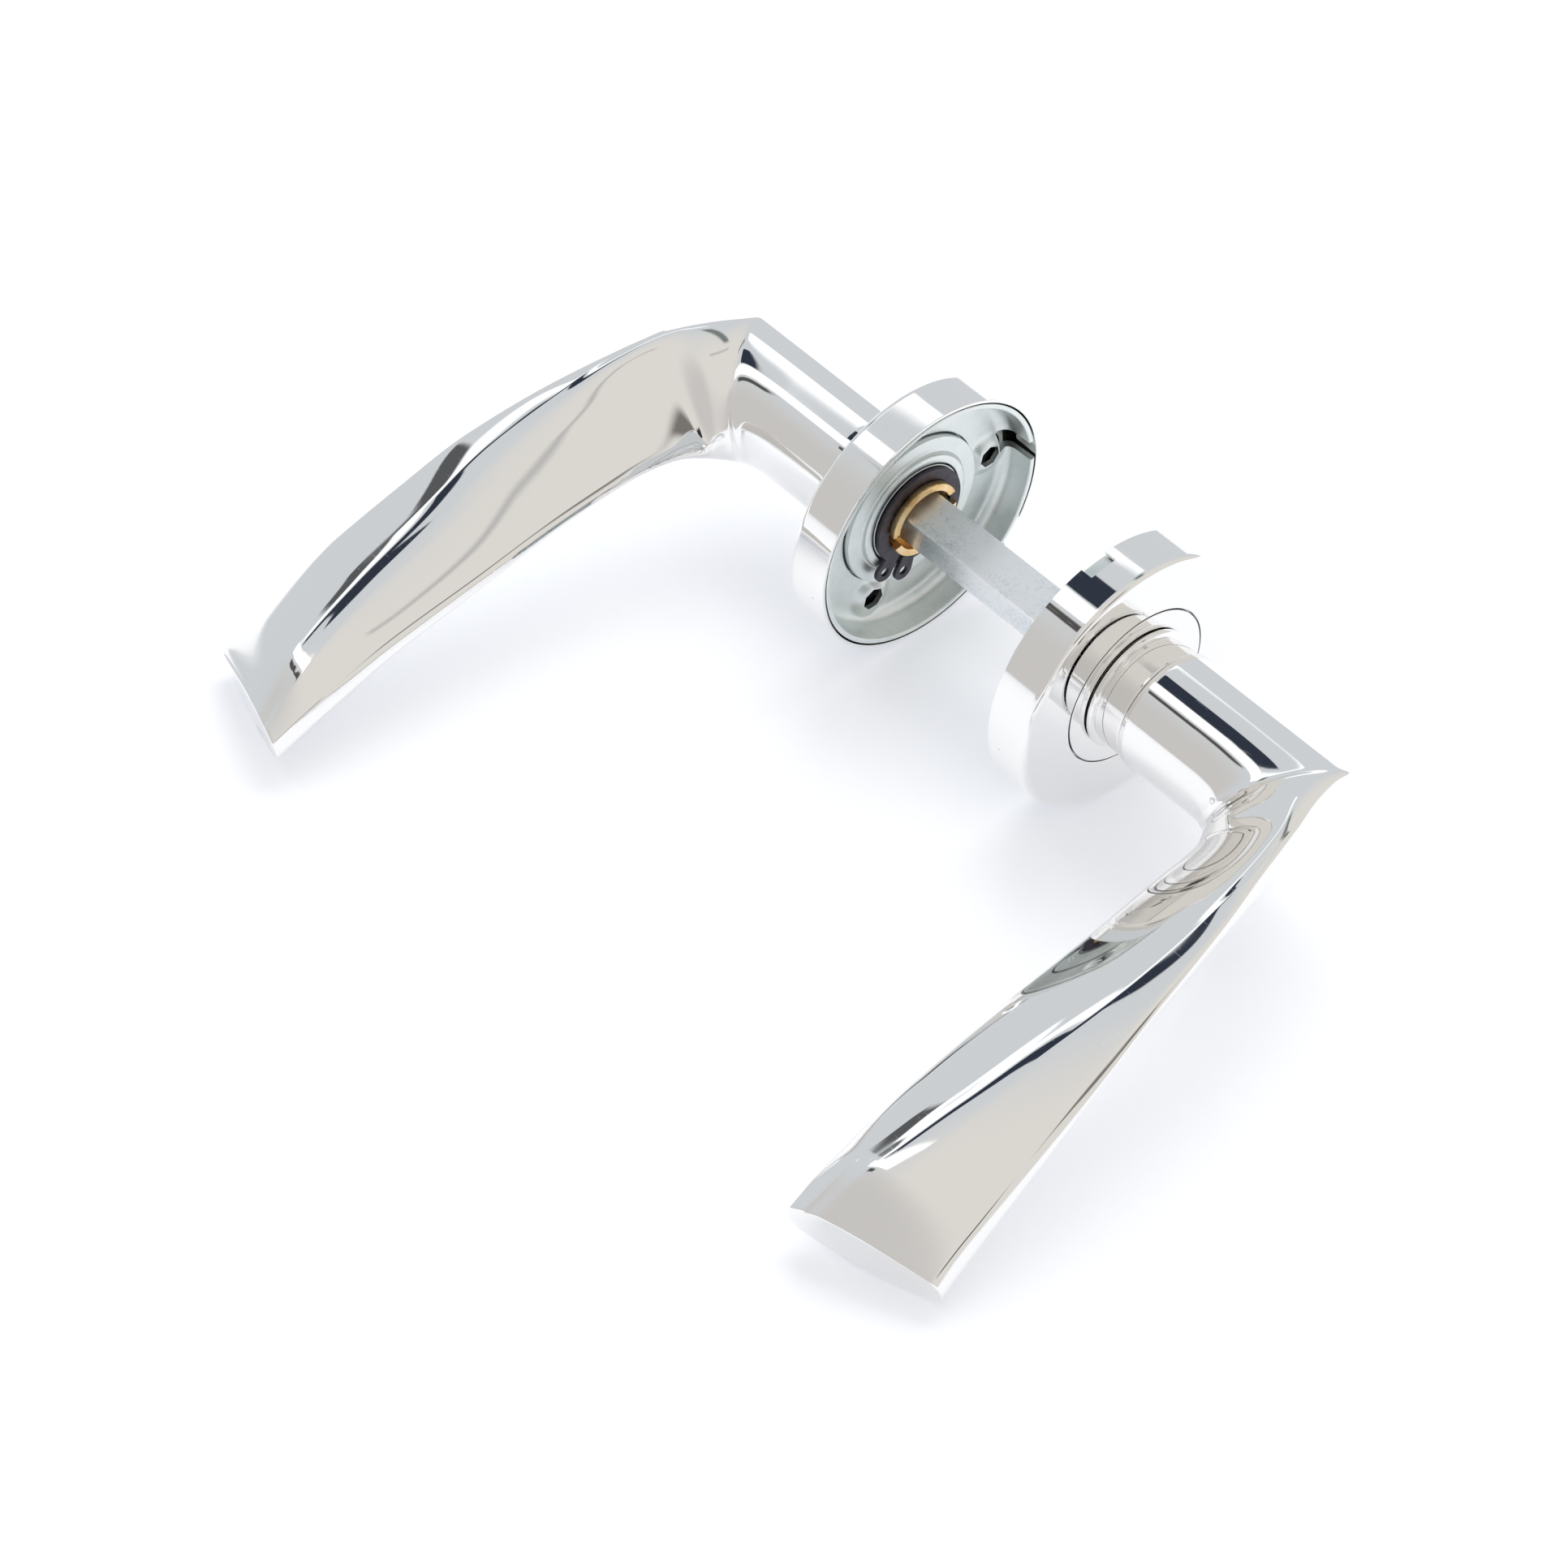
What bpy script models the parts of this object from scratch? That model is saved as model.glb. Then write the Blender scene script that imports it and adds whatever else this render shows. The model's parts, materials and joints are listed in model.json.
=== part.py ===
"""Door lever handle set: two mirrored levers on round sprung roses, joined by one square spindle.

Metres, +Z up. The set lies on its rose rims and lever tips. x = 0 is the middle of the door,
+X runs along the spindle from rose a to rose b, and the levers point to -Y.
Lengths in the tables are millimetres and pass through MM.
"""
import bpy
import bmesh
from math import atan2, cos, degrees, pi, radians, sin, sqrt
from mathutils import Vector

MM = 0.001

# Driving dimensions
DOOR_FACE = 21.0          # from the middle of the door to each rose's back plane
ROSE_RADIUS = 26.0
AXIS_Y = 43.14            # puts the middle of the whole set's box at y = 0
LEVER_DROOP = 10.88       # degrees that the levers turn down until their tips touch the surface
CLEARANCE = 0.3           # gap between pieces that touch or slide
CUTTER_MARGIN = 1.0       # how far a cutter goes past the surface that it starts from
CUTTER_REACH = 4.0        # length of a cutter that goes right through sheet metal

SPINDLE_SIDE = 8.0
SPINDLE_HALF_LENGTH = 50.0
SPINDLE_CHAMFER = 0.5
SPINDLE_BARE_HALF = 19.0  # the full square runs this far each way; the latch follower sits on it
SPINDLE_EASE = 0.03       # taken off each flat of the ends, to slide into the sockets
SPINDLE_EASE_RUN = 1.0
SQUARE_HOLE = 8.4

SOCKET_RADIUS = 7.6
SOCKET_BORE = 6.1
SOCKET_START = 1.6        # these x' places are measured outward from the rose's back plane
SOCKET_STEP = 5.0
SOCKET_END = 38.0
SLOT_WIDTH = 3.0
SLOT_END = 8.2

NECK_START = 16.7
NECK_BORE = SOCKET_RADIUS + CLEARANCE
NECK_BORE_END = SOCKET_END + CLEARANCE

GRUB_PLACE = 24.0
GRUB_RADIUS = 2.5
GRUB_INNER_END = 4.4
GRUB_OUTER_END = 10.8
GRUB_CHAMFER = 0.5
GRUB_KEY = 2.5
GRUB_KEY_DEPTH = 2.6
GRUB_HOLE_LENGTH = 10.0

CLIP_BACK, CLIP_FRONT = 3.15, 3.85
CLIP_INNER, CLIP_OUTER = 7.4, 9.9
CLIP_GAP_ANGLE = -129.0
CLIP_HALF_GAP = 5.0
CLIP_LUG_OFFSET = 12.5
CLIP_LUG_SHOULDER = 11.0
CLIP_LUG_PLACE = 12.0
CLIP_LUG_RADIUS = 2.1
CLIP_LUG_HOLE = 0.9
CLIP_LUG_SWEEP = 80.0     # degrees that each lug rounds back towards the gap

WIRE_RADIUS = 0.45
SPRING_PLACE = 6.85
SPRING_INNER, SPRING_OUTER = 11.5, 13.8
SPRING_TURNS = 2
SPRING_INNER_LEG = 10.1
SPRING_ANGLE = 60.0

DRIVER_BACK, DRIVER_FRONT = 6.45, 7.15
DRIVER_OUTER = 9.6
DRIVER_TAB_REACH = 11.0
DRIVER_TAB_WIDTH = 2.0
DRIVER_KEY_WIDTH = 2.4
DRIVER_KEY_REACH = 6.5

PLATE_HOLE_CIRCLE = 19.0
PLATE_HOLE_RADIUS = 2.3
PLATE_HOLE_ANGLES = (4.0, 124.0, -116.0)
PLATE_HOLE_SIDES = 12
PLATE_FLOOR = (7.3, 6.3)  # the plate's front and back surfaces
PLATE_NOTCH_ANGLE = 8.0
PLATE_NOTCH_WIDTH = 4.6
PLATE_NOTCH_FLOOR = 21.3
PLATE_NOTCH_DEPTH = 6.9
COVER_NOTCH_ANGLE = {"a": -35.0, "b": 98.0}
COVER_NOTCH_WIDTH = 5.6
COVER_NOTCH_DEPTH = 2.6
DIMPLE_ANGLE = -173.0
DIMPLE_PLACE = 2.8
DIMPLE_RADIUS = 1.0
DIMPLE_DEPTH = 0.3

STEPS_LARGE = 48
STEPS_MEDIUM = 32
STEPS_SMALL = 24
HOLE_SIDES = 20
DIMPLE_SIDES = 12
DIMPLE_RINGS = 8
GRUB_SIDES = 16
KEY_SIDES = 6
TIP_ARC_POINTS = 3
LUG_POINTS = 6
LUG_HOLE_SIDES = 8
FLAT_ARC_POINTS = 22
SPRING_POINTS_PER_TURN = 12

# Turned profiles as (radius, x'), down the outer side and back up the inner side
COVER_PROFILE = [
    (15.9, 9.4), (25.1, 9.0), (25.7, 8.8), (26.0, 8.3), (26.0, 0.0),
    (25.4, 0.0), (25.4, 8.0), (25.0, 8.4), (15.9, 8.8),
]
PLATE_PROFILE = [
    (15.6, PLATE_FLOOR[0]), (23.2, PLATE_FLOOR[0]), (24.9, 5.9), (25.1, 0.0),
    (24.1, 0.0), (24.0, 4.9), (22.4, PLATE_FLOOR[1]), (15.6, PLATE_FLOOR[1]),
]
HOUSING_PROFILE = [
    (10.9, 9.3), (15.55, 9.3), (15.55, 8.2), (17.0, 8.2), (17.0, 7.6),
    (15.3, 7.6), (15.3, 5.15), (11.8, 5.15), (11.5, 4.2),
    (10.4, 4.2), (10.4, 6.0), (14.5, 6.0), (14.5, 8.5), (10.9, 8.5),
]
FRONT_BUSH_PROFILE = [
    (7.9, 9.3), (10.6, 9.3), (10.6, 8.2), (11.3, 8.2), (11.3, 7.6), (7.9, 7.6),
]
BACK_BUSH_PROFILE = [(7.9, 6.1), (10.1, 6.1), (10.1, 5.2), (7.9, 5.2)]
WASHER_PROFILE = [(7.9, 4.9), (10.1, 4.9), (10.1, 4.15), (7.9, 4.15)]
COLLAR_PROFILE = [
    (7.9, 16.4), (11.0, 16.4), (11.0, 11.2), (10.7, 11.0), (10.7, 10.8),
    (11.95, 10.6), (11.95, 9.6), (7.9, 9.6),
]
SOCKET_PROFILE = [
    (0.0, SOCKET_END), (SOCKET_RADIUS, SOCKET_END),
    (SOCKET_RADIUS, 4.15), (7.1, 4.15), (7.1, 2.85), (SOCKET_RADIUS, 2.85),
    (SOCKET_RADIUS, SOCKET_START),
    (SOCKET_BORE, SOCKET_START), (SOCKET_BORE, SOCKET_STEP), (0.0, SOCKET_STEP),
]

# Lever sections, from the neck to the tip. Each has the inner and outer edge points, the rise of the
# ridge and the drop of the keel as vectors from the chord, then: ridge shift, keel shift,
# ridge softness, 0 round to 1 lens-shaped, inner and outer edge bluntness.
LEVER_SECTIONS = [
    ((37.7, -9.3, -6.76), (37.7, 9.3, 6.76), (0, -6.76, 9.3), (0, 6.76, -9.3),
     0.9, 0, 0.6, 0, 0, 0),
    ((52.5, -9.3, -6.76), (56, 9.3, 6.76), (0, -6.76, 9.3), (0, 6.76, -9.3),
     0.9, 0, 0.6, 0, 0, 0),
    ((56, -9.6, -6.5), (65.5, 9.3, 6.76), (-0.6, -6.76, 9.3), (0.6, 6.76, -9.3),
     0.9, 0, 0.6, 0, 0, 0),
    ((58.4, -10.4, -5.8), (73.7, 9.3, 6.76), (-2, -6.76, 9.3), (0, 6.76, -9.3),
     0.9, 0, 0.6, 0, 0, 0),
    ((60, -12, -4.4), (74.9, 5.6, 8.6), (-1.9, -4.2, 8.8), (0.6, 5, -9.2),
     0.9, 0, 0.5, 0.08, 0.25, 0.1),
    ((61.2, -14.4, -2.4), (77.3, -2.4, 12), (-1.6, -1.8, 7), (2.6, 3.4, -8.6),
     0.9, 0, 0.45, 0.15, 0.25, 0.15),
    ((62.3, -17.4, -0.2), (80, -11, 14.8), (-1.2, -0.6, 3.6), (4.2, 1.2, -7.6),
     0.88, -0.08, 0.4, 0.35, 0.25, 0.15),
    ((63.6, -22.5, 2.8), (82.2, -20.5, 15.3), (-1, -0.3, 2.9), (3.7, 0.3, -6.8),
     0.82, -0.08, 0.4, 0.55, 0.25, 0.15),
    ((64.7, -33, 5.2), (84.9, -32, 15.4), (-1.2, -0.3, 2.9), (2.9, -0.4, -6.6),
     0.62, -0.05, 0.4, 0.68, 0.25, 0.15),
    ((65.2, -50, 6.3), (87.9, -49, 14.6), (-1.4, -0.2, 4.1), (1.9, 0, -5.8),
     0.38, -0.01, 0.45, 0.75, 0.22, 0.2),
    ((65, -66, 6.7), (90, -64, 11.4), (-1.1, -0.1, 6.1), (0.9, 0, -5.3),
     0.12, -0.03, 0.5, 0.77, 0.22, 0.2),
    ((65.2, -84, 6.9), (92, -82, 6.4), (0.3, 0.2, 8.2), (-0.2, 0, -5.3),
     -0.17, 0, 0.5, 0.78, 0.2, 0.22),
    ((65.5, -101, 5.2), (93.2, -97, 1), (1.3, 0.4, 9.3), (-0.8, 0, -5.2),
     -0.47, 0.03, 0.5, 0.8, 0.22, 0.26),
    ((66.4, -113.8, 2.3), (93.8, -105.5, -2.4), (0.9, 0.2, 5.8), (-0.8, -0.2, -4.8),
     -0.67, 0.06, 0.4, 0.85, 0.45, 0.5),
]
LEVER_RINGS = 44
LEVER_POINTS = 32
LEVER_NECK_RINGS = 2
SHARP_ANGLE = radians(50.0)
KEEL_SOFTNESS = 0.8
SHIFT_SOFTNESS = 0.1
EDGE_STRIP = radians(24.0)   # half angle of the blunt strip along each long edge
RIDGE_BAND = 0.25            # the edges' bluntness fades out this near the ridge
SHORTEST_STEP = 1.5          # spaces the sections that crowd the inside of the corner

# Material slots: base colour, metallic, roughness
MATERIALS = {
    "polished_chrome": ((0.80, 0.80, 0.79), 1.0, 0.06),
    "zinc_plate": ((0.55, 0.60, 0.59), 1.0, 0.30),
    "zinc_spindle": ((0.58, 0.62, 0.66), 1.0, 0.35),
    "brass": ((0.72, 0.52, 0.26), 1.0, 0.30),
    "black_spring_steel": ((0.035, 0.035, 0.042), 0.6, 0.40),
    "spring_wire": ((0.30, 0.30, 0.31), 1.0, 0.35),
    "nylon": ((0.75, 0.74, 0.70), 0.0, 0.50),
}


def clear_scene():
    for obj in list(bpy.data.objects):
        bpy.data.objects.remove(obj, do_unlink=True)


def new_collection(name):
    collection = bpy.data.collections.new(name)
    bpy.context.scene.collection.children.link(collection)
    return collection


def make_material(name):
    colour, metallic, roughness = MATERIALS[name]
    material = bpy.data.materials.new(name)
    material.use_nodes = True
    shader = material.node_tree.nodes["Principled BSDF"]
    shader.inputs["Base Color"].default_value = (*colour, 1.0)
    shader.inputs["Metallic"].default_value = metallic
    shader.inputs["Roughness"].default_value = roughness
    return material


def add_empty(name, location, rotation=(0.0, 0.0, 0.0), scale=(1.0, 1.0, 1.0), parent=None):
    empty = bpy.data.objects.new(name, None)
    empty.location = [value * MM for value in location]
    empty.rotation_euler = rotation
    empty.scale = scale
    empty.parent = parent
    PARTS.objects.link(empty)
    return empty


def add_part(name, data, parent, slot):
    obj = bpy.data.objects.new(name, data)
    obj.parent = parent
    data.materials.append(SLOTS[slot])
    PARTS.objects.link(obj)
    return obj


def turned(name, profile, parent, slot, steps, closed=True):
    """A solid of revolution about the parent's Z axis."""
    last = len(profile) - 1
    edges = [(i, i + 1) for i in range(last)]
    if closed:
        edges.append((last, 0))
    mesh = bpy.data.meshes.new(name)
    mesh.from_pydata([(radius * MM, 0.0, place * MM) for radius, place in profile], edges, [])
    obj = add_part(name, mesh, parent, slot)
    screw = obj.modifiers.new("turn", "SCREW")
    screw.axis = "Z"
    screw.steps = steps
    screw.render_steps = steps
    screw.use_merge_vertices = True
    screw.merge_threshold = 0.00001
    screw.use_smooth_shade = False
    return obj


def as_cutter(obj, parent):
    for collection in list(obj.users_collection):
        collection.objects.unlink(obj)
    CUTTERS.objects.link(obj)
    obj.parent = parent
    obj.hide_render = True
    obj.display_type = "WIRE"
    return obj


def mesh_object(name, fill):
    """A new mesh object whose mesh the function fill builds."""
    mesh = bpy.data.meshes.new(name)
    bm = bmesh.new()
    fill(bm)
    bm.to_mesh(mesh)
    bm.free()
    obj = bpy.data.objects.new(name, mesh)
    bpy.context.scene.collection.objects.link(obj)
    return obj


def box_cutter(name, size, centre, parent, turn=0.0):
    def fill(bm):
        bmesh.ops.create_cube(bm, size=1.0)
        bmesh.ops.scale(bm, vec=[value * MM for value in size], verts=bm.verts)

    cutter = as_cutter(mesh_object(name, fill), parent)
    cutter.location = [value * MM for value in centre]
    cutter.rotation_euler = (0.0, 0.0, turn)
    return cutter


def round_cutter(name, radius, depth, centre, parent, rotation=(0.0, 0.0, 0.0), segments=HOLE_SIDES):
    def fill(bm):
        bmesh.ops.create_cone(bm, cap_ends=True, segments=segments, radius1=radius * MM,
                              radius2=radius * MM, depth=depth * MM)

    cutter = as_cutter(mesh_object(name, fill), parent)
    cutter.location = [value * MM for value in centre]
    cutter.rotation_euler = rotation
    return cutter


def ball_cutter(name, radius, centre, parent):
    def fill(bm):
        bmesh.ops.create_uvsphere(bm, u_segments=DIMPLE_SIDES, v_segments=DIMPLE_RINGS, radius=radius * MM)

    cutter = as_cutter(mesh_object(name, fill), parent)
    cutter.location = [value * MM for value in centre]
    return cutter


def cut(obj, cutter):
    boolean = obj.modifiers.new("cut_" + cutter.name, "BOOLEAN")
    boolean.operation = "DIFFERENCE"
    boolean.solver = "EXACT"
    boolean.object = cutter


def on_face(angle, radius, place):
    """A point on the rose, from its angle in degrees (0 is +Y, 90 is up), radius and x'."""
    turn = radians(angle + 90.0)
    return (radius * cos(turn), radius * sin(turn), place)


def flat_shape(name, outlines, back, front, parent, slot):
    """A flat plate from closed outlines, the first outside and the others as holes."""
    curve = bpy.data.curves.new(name, "CURVE")
    curve.dimensions = "2D"
    curve.fill_mode = "BOTH"
    curve.extrude = (front - back) / 2 * MM
    for outline in outlines:
        spline = curve.splines.new("POLY")
        spline.points.add(len(outline) - 1)
        for point, (x, y) in zip(spline.points, outline):
            point.co = (x * MM, y * MM, 0.0, 1.0)
        spline.use_cyclic_u = True
    obj = add_part(name, curve, parent, slot)
    obj.location = (0.0, 0.0, (back + front) / 2 * MM)
    return obj


def arc(radius, start, stop, count, centre=(0.0, 0.0)):
    """Points from one angle to another, in degrees."""
    angles = [radians(start + (stop - start) * i / (count - 1)) for i in range(count)]
    return [(centre[0] + radius * cos(a), centre[1] + radius * sin(a)) for a in angles]


def ring(radius, count, centre=(0.0, 0.0)):
    return arc(radius, 0.0, 360.0 * (count - 1) / count, count, centre)


# ---------------------------------------------------------------- the rose, fixed to the door

def rose_cover(side, face):
    cover = turned(f"rose_cover_{side}", COVER_PROFILE, face, "polished_chrome", STEPS_LARGE)
    angle = COVER_NOTCH_ANGLE[side]
    notch = box_cutter(f"cover_notch_{side}", (CUTTER_REACH, COVER_NOTCH_WIDTH, 2 * COVER_NOTCH_DEPTH),
                       on_face(angle, ROSE_RADIUS, 0.0), face, radians(angle + 90.0))
    cut(cover, notch)
    dimple = ball_cutter(f"dimple_{side}", DIMPLE_RADIUS,
                         on_face(DIMPLE_ANGLE, ROSE_RADIUS + DIMPLE_RADIUS - DIMPLE_DEPTH, DIMPLE_PLACE),
                         face)
    cut(cover, dimple)


def rose_plate(side, face):
    plate = turned(f"rose_plate_{side}", PLATE_PROFILE, face, "zinc_plate", STEPS_LARGE)
    for number, angle in enumerate(PLATE_HOLE_ANGLES, 1):
        hole = round_cutter(f"screw_hole_{side}{number}", PLATE_HOLE_RADIUS, CUTTER_REACH,
                            on_face(angle, PLATE_HOLE_CIRCLE, sum(PLATE_FLOOR) / 2), face,
                            segments=PLATE_HOLE_SIDES)
        cut(plate, hole)
    depth = ROSE_RADIUS + CUTTER_MARGIN - PLATE_NOTCH_FLOOR
    notch = box_cutter(f"plate_notch_{side}", (depth, PLATE_NOTCH_WIDTH, 2 * PLATE_NOTCH_DEPTH),
                       on_face(PLATE_NOTCH_ANGLE, PLATE_NOTCH_FLOOR + depth / 2, 0.0), face,
                       radians(PLATE_NOTCH_ANGLE + 90.0))
    cut(plate, notch)


def return_spring(side, face):
    """A flat spiral of round wire, its inner end bent in towards the driver."""
    count = SPRING_POINTS_PER_TURN * SPRING_TURNS
    points = [on_face(SPRING_ANGLE, SPRING_INNER_LEG, 0.0)]
    for i in range(count + 1):
        radius = SPRING_INNER + (SPRING_OUTER - SPRING_INNER) * i / count
        points.append(on_face(SPRING_ANGLE + 360.0 * i / SPRING_POINTS_PER_TURN, radius, 0.0))
    curve = bpy.data.curves.new(f"return_spring_{side}", "CURVE")
    curve.dimensions = "3D"
    curve.bevel_depth = WIRE_RADIUS * MM
    curve.bevel_resolution = 2
    curve.use_fill_caps = True
    spline = curve.splines.new("POLY")
    spline.points.add(len(points) - 1)
    for point, (x, y, z) in zip(spline.points, points):
        point.co = (x * MM, y * MM, z * MM, 1.0)
    spring = add_part(f"return_spring_{side}", curve, face, "spring_wire")
    spring.location = (0.0, 0.0, SPRING_PLACE * MM)


def rose(side, face):
    rose_cover(side, face)
    rose_plate(side, face)
    turned(f"spring_housing_{side}", HOUSING_PROFILE, face, "zinc_plate", STEPS_MEDIUM)
    turned(f"front_bush_{side}", FRONT_BUSH_PROFILE, face, "nylon", STEPS_SMALL)
    turned(f"back_bush_{side}", BACK_BUSH_PROFILE, face, "nylon", STEPS_SMALL)
    return_spring(side, face)


# ---------------------------------------------------------------- the handle, turning as one

def spindle_socket(side, face):
    """Brass tube with a square hole for the spindle and two slots that key the driver."""
    socket = turned(f"spindle_socket_{side}", SOCKET_PROFILE, face, "brass", STEPS_MEDIUM, closed=False)
    length = SOCKET_END - SOCKET_STEP + 2 * CUTTER_MARGIN
    square = box_cutter(f"square_hole_{side}", (SQUARE_HOLE, SQUARE_HOLE, length),
                        (0.0, 0.0, SOCKET_STEP - CUTTER_MARGIN + length / 2), face)
    cut(socket, square)
    slots = box_cutter(f"socket_slots_{side}", (SLOT_WIDTH, 3 * SOCKET_RADIUS, 2 * SLOT_END),
                       (0.0, 0.0, 0.0), face)
    cut(socket, slots)
    cut(socket, grub_cutter(f"socket_thread_{side}", face))


def grub_cutter(name, face):
    return round_cutter(name, GRUB_RADIUS + CLEARANCE, GRUB_HOLE_LENGTH,
                        (NECK_BORE, 0.0, GRUB_PLACE), face, (0.0, pi / 2, 0.0))


def grub_screw(side, face):
    """Set screw with a hexagon key socket, under the neck."""
    length = GRUB_OUTER_END - GRUB_INNER_END

    def fill(bm):
        bmesh.ops.create_cone(bm, cap_ends=True, segments=GRUB_SIDES, radius1=(GRUB_RADIUS - GRUB_CHAMFER) * MM,
                              radius2=GRUB_RADIUS * MM, depth=GRUB_CHAMFER * MM)
        bmesh.ops.translate(bm, verts=bm.verts, vec=(0.0, 0.0, GRUB_CHAMFER / 2 * MM))
        top = max(bm.faces, key=lambda face: face.calc_center_median().z)
        body = bmesh.ops.extrude_face_region(bm, geom=[top])
        moved = [item for item in body["geom"] if isinstance(item, bmesh.types.BMVert)]
        bmesh.ops.translate(bm, verts=moved, vec=(0.0, 0.0, (length - GRUB_CHAMFER) * MM))
        bmesh.ops.delete(bm, geom=[top], context="FACES")

    source = mesh_object(f"grub_screw_{side}", fill)
    bpy.context.scene.collection.objects.unlink(source)
    PARTS.objects.link(source)
    source.data.materials.append(SLOTS["black_spring_steel"])
    source.parent = face
    source.location = (GRUB_INNER_END * MM, 0.0, GRUB_PLACE * MM)
    source.rotation_euler = (0.0, pi / 2, 0.0)
    key = round_cutter(f"grub_key_{side}", GRUB_KEY / sqrt(3), 2 * GRUB_KEY_DEPTH,
                       (GRUB_OUTER_END, 0.0, GRUB_PLACE), face, (0.0, pi / 2, 0.0), segments=KEY_SIDES)
    cut(source, key)


def circlip(side, face):
    """External retaining ring: an open ring with two drilled lugs at its gap."""
    side_angle = CLIP_LUG_OFFSET + CLIP_LUG_SHOULDER
    lugs = []
    for sign in (-1, 1):
        angle = radians(sign * CLIP_LUG_OFFSET)
        lugs.append((CLIP_LUG_PLACE * cos(angle), CLIP_LUG_PLACE * sin(angle)))
    outline = arc(CLIP_OUTER, side_angle, 360.0 - side_angle, FLAT_ARC_POINTS)
    outline += arc(CLIP_LUG_RADIUS, -CLIP_LUG_OFFSET - 90.0, -CLIP_LUG_OFFSET + CLIP_LUG_SWEEP, LUG_POINTS, lugs[0])
    outline += arc(CLIP_INNER, -CLIP_HALF_GAP, -360.0 + CLIP_HALF_GAP, FLAT_ARC_POINTS)
    outline += arc(CLIP_LUG_RADIUS, CLIP_LUG_OFFSET - CLIP_LUG_SWEEP, CLIP_LUG_OFFSET + 90.0, LUG_POINTS, lugs[1])
    holes = [ring(CLIP_LUG_HOLE, LUG_HOLE_SIDES, centre) for centre in lugs]
    clip = flat_shape(f"circlip_{side}", [outline] + holes, CLIP_BACK, CLIP_FRONT, face,
                      "black_spring_steel")
    clip.rotation_euler = (0.0, 0.0, radians(CLIP_GAP_ANGLE + 90.0))


def spring_driver(side, face):
    """Washer keyed in the socket's slots, with one tab that carries the spring's inner end."""
    tab_gap = CLEARANCE + WIRE_RADIUS + DRIVER_TAB_WIDTH / 2
    tab_angle = SPRING_ANGLE - degrees(tab_gap / DRIVER_TAB_REACH) - LEVER_DROOP
    tab_half = degrees(atan2(DRIVER_TAB_WIDTH / 2, DRIVER_OUTER))
    tip_half = degrees(atan2(DRIVER_TAB_WIDTH / 2, DRIVER_TAB_REACH))
    outer = arc(DRIVER_OUTER, tab_half, 360.0 - tab_half, FLAT_ARC_POINTS)
    outer += arc(DRIVER_TAB_REACH, -tip_half, tip_half, TIP_ARC_POINTS)
    turn = tab_angle + 90.0
    key_half = degrees(atan2(DRIVER_KEY_WIDTH / 2, NECK_BORE))
    key_tip = degrees(atan2(DRIVER_KEY_WIDTH / 2, DRIVER_KEY_REACH))
    inner = []
    for middle in (90.0 - turn, 270.0 - turn):
        inner += arc(DRIVER_KEY_REACH, middle - key_tip, middle + key_tip, TIP_ARC_POINTS)
        inner += arc(NECK_BORE, middle + key_half, middle + 180.0 - key_half, FLAT_ARC_POINTS // 2)
    driver = flat_shape(f"spring_driver_{side}", [outer, inner], DRIVER_BACK, DRIVER_FRONT, face,
                        "zinc_plate")
    driver.rotation_euler = (0.0, 0.0, radians(turn))


def smooth_slopes(knots, values):
    """Slopes of a curve through the values that never overshoots them."""
    steps = [b - a for a, b in zip(knots, knots[1:])]
    rises = [(b - a) / step for a, b, step in zip(values, values[1:], steps)]
    slopes = [rises[0]]
    for i in range(1, len(rises)):
        before, after = rises[i - 1], rises[i]
        if before * after <= 0.0:
            slopes.append(0.0)
            continue
        weight_before = 2 * steps[i] + steps[i - 1]
        weight_after = steps[i] + 2 * steps[i - 1]
        slopes.append((weight_before + weight_after) / (weight_before / before + weight_after / after))
    slopes.append(rises[-1])
    return slopes


def smooth_value(knots, values, slopes, place):
    i = 0
    while i < len(knots) - 2 and place > knots[i + 1]:
        i += 1
    step = knots[i + 1] - knots[i]
    t = (place - knots[i]) / step
    return ((2 * t**3 - 3 * t**2 + 1) * values[i] + (t**3 - 2 * t**2 + t) * step * slopes[i]
            + (3 * t**2 - 2 * t**3) * values[i + 1] + (t**3 - t**2) * step * slopes[i + 1])


def flat_row(section):
    inner, outer, rise, drop, *rest = section
    return [*inner, *outer, *rise, *drop, *rest]


def lever_rows():
    """The lever's sections, evenly spaced along it."""
    rows = [flat_row(section) for section in LEVER_SECTIONS]
    knots = [0.0]
    for a, b in zip(rows, rows[1:]):
        middle_a = Vector(a[0:3]) + Vector(a[3:6])
        middle_b = Vector(b[0:3]) + Vector(b[3:6])
        knots.append(knots[-1] + max((middle_b - middle_a).length / 2, SHORTEST_STEP))
    columns = list(zip(*rows))
    slopes = [smooth_slopes(knots, column) for column in columns]
    places = [knots[1] * i / LEVER_NECK_RINGS for i in range(LEVER_NECK_RINGS)]
    count = LEVER_RINGS - LEVER_NECK_RINGS
    places += [knots[1] + (knots[-1] - knots[1]) * i / (count - 1) for i in range(count)]
    return [[smooth_value(knots, column, slope, place) for column, slope in zip(columns, slopes)]
            for place in places]


def tent(u, softness):
    """A roof over -1..1 with a rounded ridge at 0."""
    edge = sqrt(1.0 + softness**2)
    return (edge - sqrt(u * u + softness**2)) / (edge - softness)


def gable(place, ridge, softness):
    """A roof over -1..1 with straight sides that meet at the ridge in a rounded fold."""
    def folded(left, right):
        return (left + right - sqrt((left - right) ** 2 + softness**2)) / 2

    value = folded((1 + place) / (1 + ridge), (1 - place) / (1 - ridge))
    start = folded(0.0, 2 / (1 - ridge))
    end = folded(2 / (1 + ridge), 0.0)
    return value - start * (1 - place) / 2 - end * (1 + place) / 2


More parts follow.
